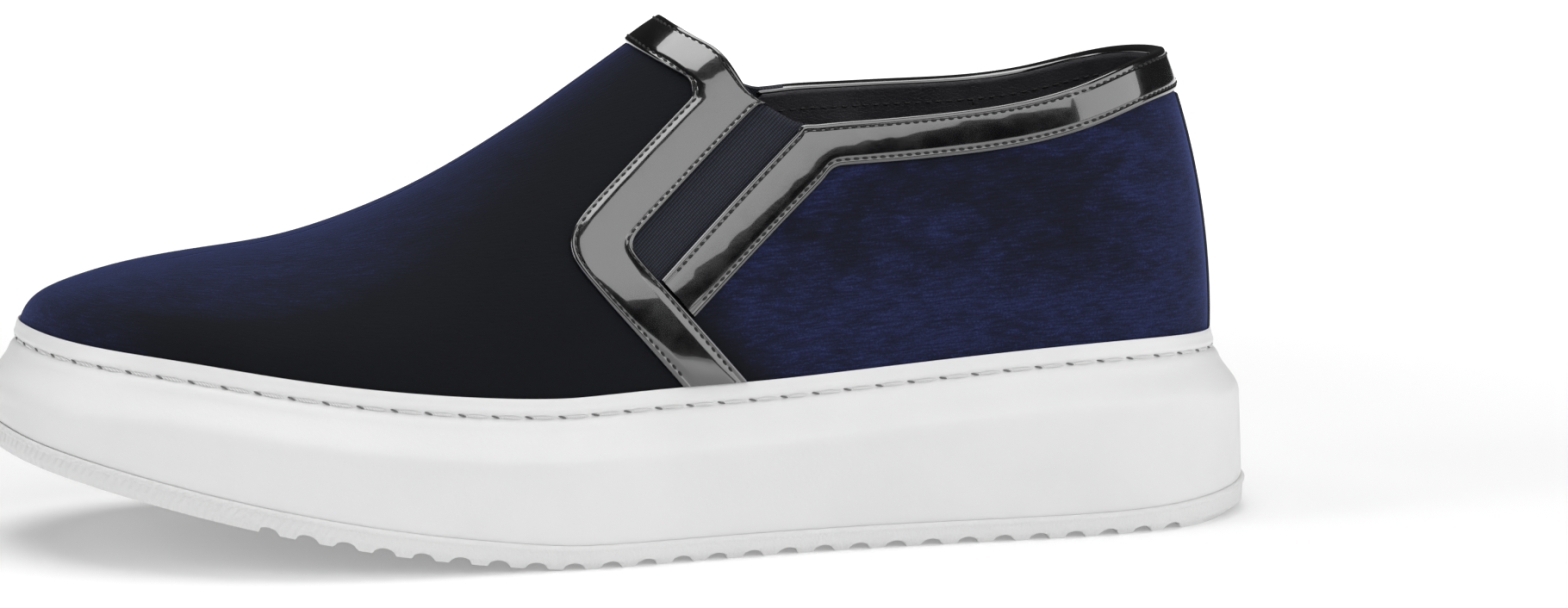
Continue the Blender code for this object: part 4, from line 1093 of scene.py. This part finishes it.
def cutGoreHoles(piece, underTrim):
    # Straight cuts along the gores' sides, then the faces between them go
    lowFront, upperLeg, lowRear, rearLeg = goreCorners(underTrim)
    baseRun = (lowRear - lowFront) / np.linalg.norm(lowRear - lowFront)
    shift = np.array([centre[0], 0.0])
    lines = [(lowFront - shift, np.array([-upperLeg[1], upperLeg[0]])),
             (lowRear - shift, np.array([rearLeg[1], -rearLeg[0]])),
             (lowFront - shift, np.array([baseRun[1], -baseRun[0]]))]
    within = (lowFront + lowRear) / 2.0 + upperLeg * goreHole["inside"] - shift
    lines = [(p, n if n @ (within - p) < 0 else -n) for p, n in lines]
    form = bmesh.new()
    form.from_mesh(piece.data)
    low = min(lowFront[1], lowRear[1]) - goreHole["lowest"]

    def region(inner):
        spots = [(f, f.calc_center_median()) for f in form.faces]
        return [f for f, c in spots if (c.y > 0.0) == inner and c.z > low
                and goreHole["foremost"] < c.x < goreHole["rearmost"]]

    for inner in (False, True):
        for point, normal in lines:
            faces = region(inner)
            geometry = set(faces) | {e for f in faces for e in f.edges} | {v for f in faces for v in f.verts}
            bmesh.ops.bisect_plane(form, geom=list(geometry), dist=1e-7, plane_co=(point[0], 0.0, point[1]),
                                   plane_no=(normal[0], 0.0, normal[1]))
        inside = []
        for f in region(inner):
            c = f.calc_center_median()
            if all((np.array([c.x, c.z]) - p) @ n < 0.0 for p, n in lines):
                inside.append(f)
        bmesh.ops.delete(form, geom=inside, context="FACES")
    form.to_mesh(piece.data)
    form.free()


def addWall(piece, thickness):
    wall = piece.modifiers.new("wall", "SOLIDIFY")
    wall.thickness = thickness
    wall.offset = -1.0
    wall.use_even_offset = False
    wall.use_rim = True


def buildUpper():
    places, grid, uv, normals = upperGrid(upper["step"], upper["rows"], upper["below"])
    closed = np.minimum(places % 2.0, 2.0 - places % 2.0) <= throat
    nearRidge = smoothStep(np.linspace(0, 1, len(grid))[:, None], 0.90, 1.0)
    ridgeFade = 1.0 - np.where(closed[None, :], nearRidge, 0.0)
    trimFade = smoothStep(np.abs(grid[..., 0] - upper["trimAt"]), upper["trimNear"], upper["trimFar"])
    depth = dent(grid) * ridgeFade * np.maximum(trimFade, upper["leastTrough"])
    grid = grid - normals * depth[..., None]
    piece = makePiece("velvet_upper", grid.reshape(-1, 3), gridFaces(len(grid), len(places), True),
                      finishes["velvet"], ("upper",), "navy_velvet", uv=uv.reshape(-1, 2), merge=6e-5)
    cutGoreHoles(piece, upper["underTrim"])
    addWall(piece, upper["thickness"])
    print("made the upper")


def buildLining():
    places, grid, uv, normals = upperGrid(lining["step"], lining["rows"], lining["below"])
    seam = np.exp(-((grid[..., 0] - lining["seamAt"]) / 0.0006) ** 2)
    edge = edgeHeight(grid[..., 0].ravel(), (grid[..., 1] > 0).ravel()).reshape(seam.shape)
    facing = smoothStep(edge - grid[..., 2], lining["facing"] + 0.0005, lining["facing"])
    facing = facing * (grid[..., 0] > 0.0)
    depth = lining["depth"] + lining["facingStep"] * facing - lining["seamDepth"] * seam
    grid = grid - normals * depth[..., None]
    piece = makePiece("leather_lining", grid.reshape(-1, 3), gridFaces(len(grid), len(places), True),
                      finishes["lining"], (), "black_leather", uv=uv.reshape(-1, 2), merge=6e-5)
    cutGoreHoles(piece, lining["underTrim"])
    addWall(piece, lining["thickness"])
    print("made the lining")


buildUpper()
buildLining()

backBinding = {
    "width": 0.0092, "thickness": 0.00055, "edge": 0.0005, "overlap": 0.0008, "tucked": 0.0006,
    "lift": 0.00004, "sunk": 0.0002, "edgeShare": 0.25, "wide": 13, "tall": 60,
}


def buildBackBinding():
    # A narrow leather binding up the centre back, from the cupsole to the collar's band
    low = float(featherHeight(np.array([0.0]))[0]) - backBinding["tucked"]
    high = low + last["back"] - trim["collarBand"] + backBinding["overlap"]
    wide, tall, half = backBinding["wide"], backBinding["tall"], backBinding["width"] / 2.0
    top, under = [], []
    for z in np.linspace(low, high, tall):
        for turn in np.linspace(-0.5, 0.5, wide) * math.pi:
            y = half * math.sin(turn)
            spot, normal = lastSurface.fromBehind(y, z)
            rounding = float(smoothStep(half - abs(y), 0.0, backBinding["edge"]))
            share = backBinding["edgeShare"] + (1.0 - backBinding["edgeShare"]) * rounding
            top.append(spot + normal * (backBinding["lift"] + backBinding["thickness"] * share))
            under.append(spot - normal * backBinding["sunk"])
    makePiece("back_binding", top + under, slabFaces(tall, wide), finishes["binding"], (), "black_leather",
              sharp=50.0)
    print("made the back binding")


buildBackBinding()

liningThread = {
    "pitch": 0.0024, "length": 0.0018, "radius": 0.00024, "lift": 0.00010, "dip": 0.00028,
    "belowRim": 0.0052, "besideSeam": 0.0016, "fromEdge": 0.004, "seamLength": 0.045,
}


def buildLiningStitches():
    # One row under the rim inside, one beside the lining's upright seam
    parts = []
    depth = lining["depth"] + lining["thickness"] + lining["facingStep"]
    for inner in (False, True):
        rim = openEdge(-0.1, trim["collarCornerAt"] - 0.010, inner, liningThread["belowRim"])
        x = lining["seamAt"] + liningThread["besideSeam"]
        top = float(edgeHeight(x, inner)[0]) - liningThread["fromEdge"]
        upright = np.linspace(top, top - liningThread["seamLength"], 60)
        for laid in ([lastSurface.nearest(p) for p in rim],
                     [lastSurface.fromSide(x, z, inner) for z in upright]):
            path = np.array([tuple(p - n * depth) for p, n in laid])
            parts.append(threadLine(path, np.array([tuple(-n) for _, n in laid]), liningThread))
    makePiece("lining_stitches", *joinParts(parts), finishes["greyThread"], (), "black_leather", sharp=80.0)
    print("made the lining stitches")


buildLiningStitches()


# Insole

insole = {"inset": 0.0026, "thickness": 0.0040, "edge": 0.0012, "cup": 0.0016, "across": 40}


def buildInsole():
    places = evenPlaces(0.002)
    top = sole["tuck"] - insole["thickness"]
    rings = []
    for inset, drop in ((0.4, insole["thickness"]), (0.0, insole["thickness"] * 0.8), (0.0, insole["edge"]),
                        (0.25, insole["edge"] * 0.45), (0.7, insole["edge"] * 0.08)):
        rings.append(soleRing(places, -insole["inset"] - inset * insole["edge"],
                              lambda along, drop=drop: featherHeight(along) - top - drop))
    inner = soleRing(places, -insole["inset"] - 1.2 * insole["edge"],
                     lambda along: featherHeight(along) - top)
    field = betweenSides(inner, insole["across"])
    share = np.linspace(-1.0, 1.0, insole["across"])[:, None]
    heel = smoothStep(field[..., 0], 0.02, 0.08)
    field[..., 2] -= insole["cup"] * np.clip(1.0 - share ** 2, 0.0, 1.0) ** 0.8 * (0.35 + 0.65 * heel)
    points, faces = closedForm(rings + [inner], (field, betweenSides(rings[0], 3)))
    makePiece("insole_board", points, faces, finishes["insole"], ("insole",), "black_leather", merge=2e-6)


buildInsole()
print("made the insole")


# Cupsole

Step = namedtuple("Step", "down out")
cupsole = {
    "side": (
        Step(0.000, 0.070), Step(0.045, 0.112), Step(0.120, 0.155), Step(0.210, 0.182), Step(0.258, 0.120),
        Step(0.300, 0.212), Step(0.420, 0.380), Step(0.560, 0.570), Step(0.680, 0.770), Step(0.810, 0.940),
        Step(1.000, 1.000),
    ),
    "step": 0.0012, "gap": 0.0003, "rows": 40, "grooveAt": 0.258,
    "lipDown": 0.0008, "lipOut": 0.0002, "lipRound": 0.0001, "rimDown": 0.00006,
    "footEase": ((0.00003, 0.0004), (0.00016, 0.00002)),  # in from the wall, up from the tread
}
sideCurve = cubicSpline([s.down for s in cupsole["side"]], [s.out for s in cupsole["side"]])


def buildCupsole():
    places = evenPlaces(cupsole["step"], sole["outset"])
    row, foot, _ = outline(places)
    parting = toeSpring(row[:, 0]) + sole["strip"] * row[:, 3]
    out, gap = sole["outset"] * row[:, 4], cupsole["gap"]
    rings = [soleRing(places, gap, lambda along: featherHeight(along) - sole["tuck"] - gap)]
    rings.append(soleRing(places, 0.5 * gap, foot[:, 2] - cupsole["lipDown"]))
    rings.append(soleRing(places, 0.6 * gap + cupsole["lipOut"], foot[:, 2] - cupsole["lipRound"]))
    downs = np.concatenate([np.linspace(0.0, 0.20, 9), np.linspace(0.20, 0.34, 14)[1:],
                            np.linspace(0.34, 1.0, cupsole["rows"] - 22)[1:]])
    for down in downs:
        share = float(sideCurve(down)[0, 0])
        rings.append(soleRing(places, out * share, foot[:, 2] - cupsole["rimDown"] - sole["band"] * down))
    wallTop = foot[:, 2] - sole["band"]
    wallFoot = parting + gap * 0.2 + sole["wallFootHeight"]
    for k in (0.2, 0.4, 0.6, 0.8, 1.0):
        share = 1.0 + (sole["wallFootOut"] - 1.0) * k
        rings.append(soleRing(places, out * share, wallTop + (wallFoot - wallTop) * k))
    for inward, upward in cupsole["footEase"]:
        rings.append(soleRing(places, out * sole["wallFootOut"] - inward, parting + upward))
    points, faces = closedForm(rings, [betweenSides(ring, 3) for ring in (rings[0], rings[-1])])
    makePiece("white_cupsole", points, faces, finishes["white"], ("midsole",), "white_rubber",
              sharp=50.0, merge=2e-6)
    print("made the cupsole")


buildCupsole()
soleThread = {"pitch": 0.0071, "length": 0.0069, "radius": 0.00036, "lift": 0.00022, "dip": 0.00060,
              "rings": 13, "sides": 9, "slant": 1.5}
# Grey ovals that paint the shade in the stitch holes between the sole stitches
soleHoleShade = {"pitch": 0.0071, "length": 0.0017, "radius": 0.00021, "lift": 0.00024, "dip": 0.00010,
            "rings": 7, "sides": 7, "slant": 15.0}


def buildSoleStitches():
    places = evenPlaces(0.0007, sole["outset"])
    row, foot, out = outline(places)
    down = cupsole["grooveAt"]
    share = float(sideCurve(down)[0, 0])
    path = soleRing(places, sole["outset"] * row[:, 4] * share, foot[:, 2] - sole["band"] * down)
    up = out + np.array([0.0, 0.0, 0.25])
    path, up = np.vstack([path, path[:1]]), np.vstack([up, up[:1]])
    makePiece("sole_stitches", *threadLine(path, up, soleThread), finishes["whiteThread"], (), "white_rubber",
              sharp=80.0)
    # Grey ovals paint the shade in the stitch holes, which lie half a stitch further on, where two stitches
    # meet
    around = np.linalg.norm(np.diff(path, axis=0), axis=1).sum()
    half = int(round(len(path) * 0.5 * soleThread["pitch"] / around))
    path, up = np.roll(path[:-1], half, axis=0), np.roll(up[:-1], half, axis=0)
    makePiece("sole_stitch_hole_shade", *threadLine(path, up, soleHoleShade), finishes["holeShade"], (), "white_rubber",
              sharp=80.0)
    print("made the sole stitches")


buildSoleStitches()


# Tread

tread = {
    "step": 0.00055, "lugWidth": 0.0046, "lugDepth": 0.0015, "lugPitch": 0.0080, "lugLength": 0.0140,
    "lugsFrom": 0.060, "lugsTo": 0.822, "across": 56, "grooveDepth": 0.0009, "groovePitch": 0.0085,
    "waveReach": 0.0028, "waveHalf": 0.0095, "grooveFrom": 0.62, "grooveTo": 0.80,
    "barFadeOver": 0.0012, "barFadeTo": -0.0030, "middleFrom": 0.0015, "middleTo": 0.0030,
    # height share and outset share of the rings up the strip, then down from the parting line
    "stripRings": ((0.0, 0.3), (0.25, 0.35), (0.5, 0.4), (0.75, 0.45)),
    "ridgeRings": ((0.25, 0.55), (0.20, 0.95), (0.14, 1.10), (0.08, 1.05), (0.03, 0.80), (0.0, 0.4)),
}


def buildTread():
    places = evenPlaces(tread["step"], sole["outset"])
    row, _, _ = outline(places)
    bottom = toeSpring(row[:, 0])
    parting = bottom + sole["strip"] * row[:, 3]
    out = sole["outset"] * row[:, 4] * sole["wallFootOut"]
    edge = soleRing(places, out, bottom)
    run = np.concatenate([[0.0], np.cumsum(np.linalg.norm(np.diff(edge[:, :2], axis=0), axis=1))])
    away = np.abs((run / tread["lugPitch"]) % 1.0 - 0.5) * tread["lugPitch"]
    notch = np.sqrt(np.clip(1.0 - (2.0 * away / tread["lugWidth"]) ** 2, 0.0, 1.0)) * tread["lugDepth"]
    notch = np.where((row[:, 0] > tread["lugsFrom"]) & (row[:, 0] < tread["lugsTo"]), notch, 0.0)
    heelShare = np.clip(1.0 - row[:, 0] / 0.05, 0.0, 1.0)
    bevel = sole["bevel"] + (sole["heelBevel"] - sole["bevel"]) * heelShare
    proud, strip = sole["ridgeProud"], sole["strip"]
    slope = 1.0 - notch / sole["bevelHeight"]
    rings = [soleRing(places, out - bevel * slope, bottom + notch)]
    middleBevel = bottom + np.maximum(notch, sole["bevelHeight"] * 0.55)
    rings.append(soleRing(places, out - bevel * 0.35 * slope, middleBevel))
    for height, share in tread["stripRings"]:
        start = bottom + sole["bevelHeight"]
        rings.append(soleRing(places, out + proud * share, start + (parting - 0.25 * strip - start) * height))
    for lower, share in tread["ridgeRings"]:
        rings.append(soleRing(places, out + proud * share, parting - lower * strip))
    count = len(places)
    uv = [(run[i], 0.0006 * r) for r in range(len(rings)) for i in range(count)]

    # Underside: bars between the notches along both edges, wavy grooves between them
    field = betweenSides(rings[0], tread["across"])
    half = count // 2
    notches = np.stack([notch[:half + 1], np.concatenate([notch[:1], notch[:half - 1:-1]])])
    widths = np.linalg.norm(field[-1] - field[0], axis=1)
    share = np.linspace(0.0, 1.0, tread["across"])[:, None]
    fromEdge = np.minimum(share, 1.0 - share) * widths[None, :]
    edgeNotch = np.where(share < 0.5, notches[0][None, :], notches[1][None, :])
    inBars = smoothStep(fromEdge, tread["lugLength"] + tread["barFadeOver"], tread["barFadeTo"])
    spring = toeSpring(sideAlong(field[..., 0]))
    wave = field[..., 0] + tread["waveReach"] * np.sin(field[..., 1] / tread["waveHalf"] * math.pi)
    phase = np.abs((wave / tread["groovePitch"]) % 1.0 - 0.5) * 2.0
    groove = tread["grooveDepth"] * smoothStep(phase, tread["grooveFrom"], tread["grooveTo"])
    middle = smoothStep(fromEdge - tread["lugLength"], tread["middleFrom"], tread["middleTo"])
    rise = edgeNotch * inBars + groove * middle
    field[..., 2] = spring + np.where(fromEdge < 1e-6, edgeNotch, rise)
    lid = betweenSides(rings[-1], 3)
    points, faces = closedForm(rings, (field, lid))
    uv += [(p[0], p[1]) for grid in (field, lid) for p in grid.reshape(-1, 3)]
    makePiece("rubber_tread", points, faces, finishes["tread"], ("outsole",), "tread_rubber", uv=uv,
              sharp=38.0, merge=2e-6)


buildTread()
print("made the tread")


# Floor, light and camera

studio = {
    "aim": (-0.0021, 0.0, 0.050), "azimuth": -10.0, "elevation": 8.5, "distance": 1.300,
    "focalPixels": 7020.0, "frame": (1820.0, 706.0), "aimPixel": (716.0, 342.4),
    "floor": (0.84, 0.84, 0.84), "glowNear": 0.16, "glowFar": 0.85, "sky": 0.55, "skyFront": 0.05,
}


Softbox = namedtuple("Softbox", "name place wide tall watts")
softboxes = (
    Softbox("front softbox", (0.24, -1.22, 1.06), 1.40, 1.16, 9.8),
    Softbox("top softbox", (-0.10, 0.15, 1.60), 1.60, 1.20, 21.0),
    Softbox("toe strip", (-1.45, -0.35, 0.60), 0.40, 1.10, 5.6),
    Softbox("heel softbox", (1.30, -0.72, 0.48), 1.30, 0.80, 6.5),
)


def buildStudio():
    mesh = bpy.data.meshes.new("studio_floor")
    size = 12.0
    corners = [(-size, -size, 0), (size, -size, 0), (size, size, 0), (-size, size, 0)]
    mesh.from_pydata(corners, [], [(0, 1, 2, 3)])
    finish, tree, shader = newFinish("pale studio floor", studio["floor"], 0.75, Specular_IOR_Level=0.1,
                                     Emission_Color=(1.0, 1.0, 1.0, 1.0))
    # The floor glows a little more with distance, as a sweep lit evenly to the back
    away = addNode(tree, "ShaderNodeVectorMath", {0: places3d(tree)}, operation="LENGTH").outputs["Value"]
    tree.links.new(soften(tree, away, 0.18, 0.80, studio["glowNear"], studio["glowFar"]),
                   shader.inputs["Emission Strength"])
    mesh.materials.append(finish)
    floor = bpy.data.objects.new("studio_floor", mesh)
    bpy.context.scene.collection.objects.link(floor)

    world = bpy.data.worlds.new("soft white studio")
    world.use_nodes = True
    air = world.node_tree
    # White overhead and behind, dark low down in front, where the studio is unlit
    toward = addNode(air, "ShaderNodeTexCoord").outputs["Generated"]
    _, y, z = addNode(air, "ShaderNodeSeparateXYZ", {0: toward}).outputs
    unlit = times(air, soften(air, y, 0.10, -0.45), soften(air, z, 0.62, 0.34))
    air.links.new(soften(air, unlit, 0.0, 1.0, studio["sky"], studio["skyFront"]),
                  air.nodes["Background"].inputs["Strength"])
    bpy.context.scene.world = world

    target = Vector(studio["aim"])
    for box in softboxes:
        lamp = bpy.data.lights.new(box.name, "AREA")
        lamp.shape, lamp.size, lamp.size_y, lamp.energy = "RECTANGLE", box.wide, box.tall, box.watts
        item = bpy.data.objects.new(box.name, lamp)
        item.location = box.place
        item.rotation_mode = "QUATERNION"
        item.rotation_quaternion = (Vector(box.place) - target).to_track_quat("Z", "Y")
        bpy.context.scene.collection.objects.link(item)

    azimuth, elevation = math.radians(studio["azimuth"]), math.radians(studio["elevation"])
    back = Vector((math.sin(azimuth) * math.cos(elevation), -math.cos(azimuth) * math.cos(elevation),
                   math.sin(elevation)))
    right = (-back).cross(Vector((0.0, 0.0, 1.0))).normalized()
    up = right.cross(-back).normalized()
    wide, tall = studio["frame"]
    # Turned a little so that the shoe stands where it does in the photograph's frame
    asideShare = (wide / 2.0 - studio["aimPixel"][0]) / studio["focalPixels"]
    downShare = (tall / 2.0 - studio["aimPixel"][1]) / studio["focalPixels"]
    forward = (-back + right * asideShare - up * downShare).normalized()
    camera = bpy.data.cameras.new("product camera")
    camera.sensor_width = 36.0
    camera.lens = studio["focalPixels"] / wide * 36.0
    camera.clip_start, camera.clip_end = 0.05, 60.0
    item = bpy.data.objects.new("product camera", camera)
    item.location = target + back * studio["distance"]
    item.rotation_mode = "QUATERNION"
    item.rotation_quaternion = forward.to_track_quat("-Z", "Y")
    bpy.context.scene.collection.objects.link(item)
    bpy.context.scene.camera = item
    bpy.context.scene.view_settings.view_transform = "Standard"


buildStudio()
print("studio ready")
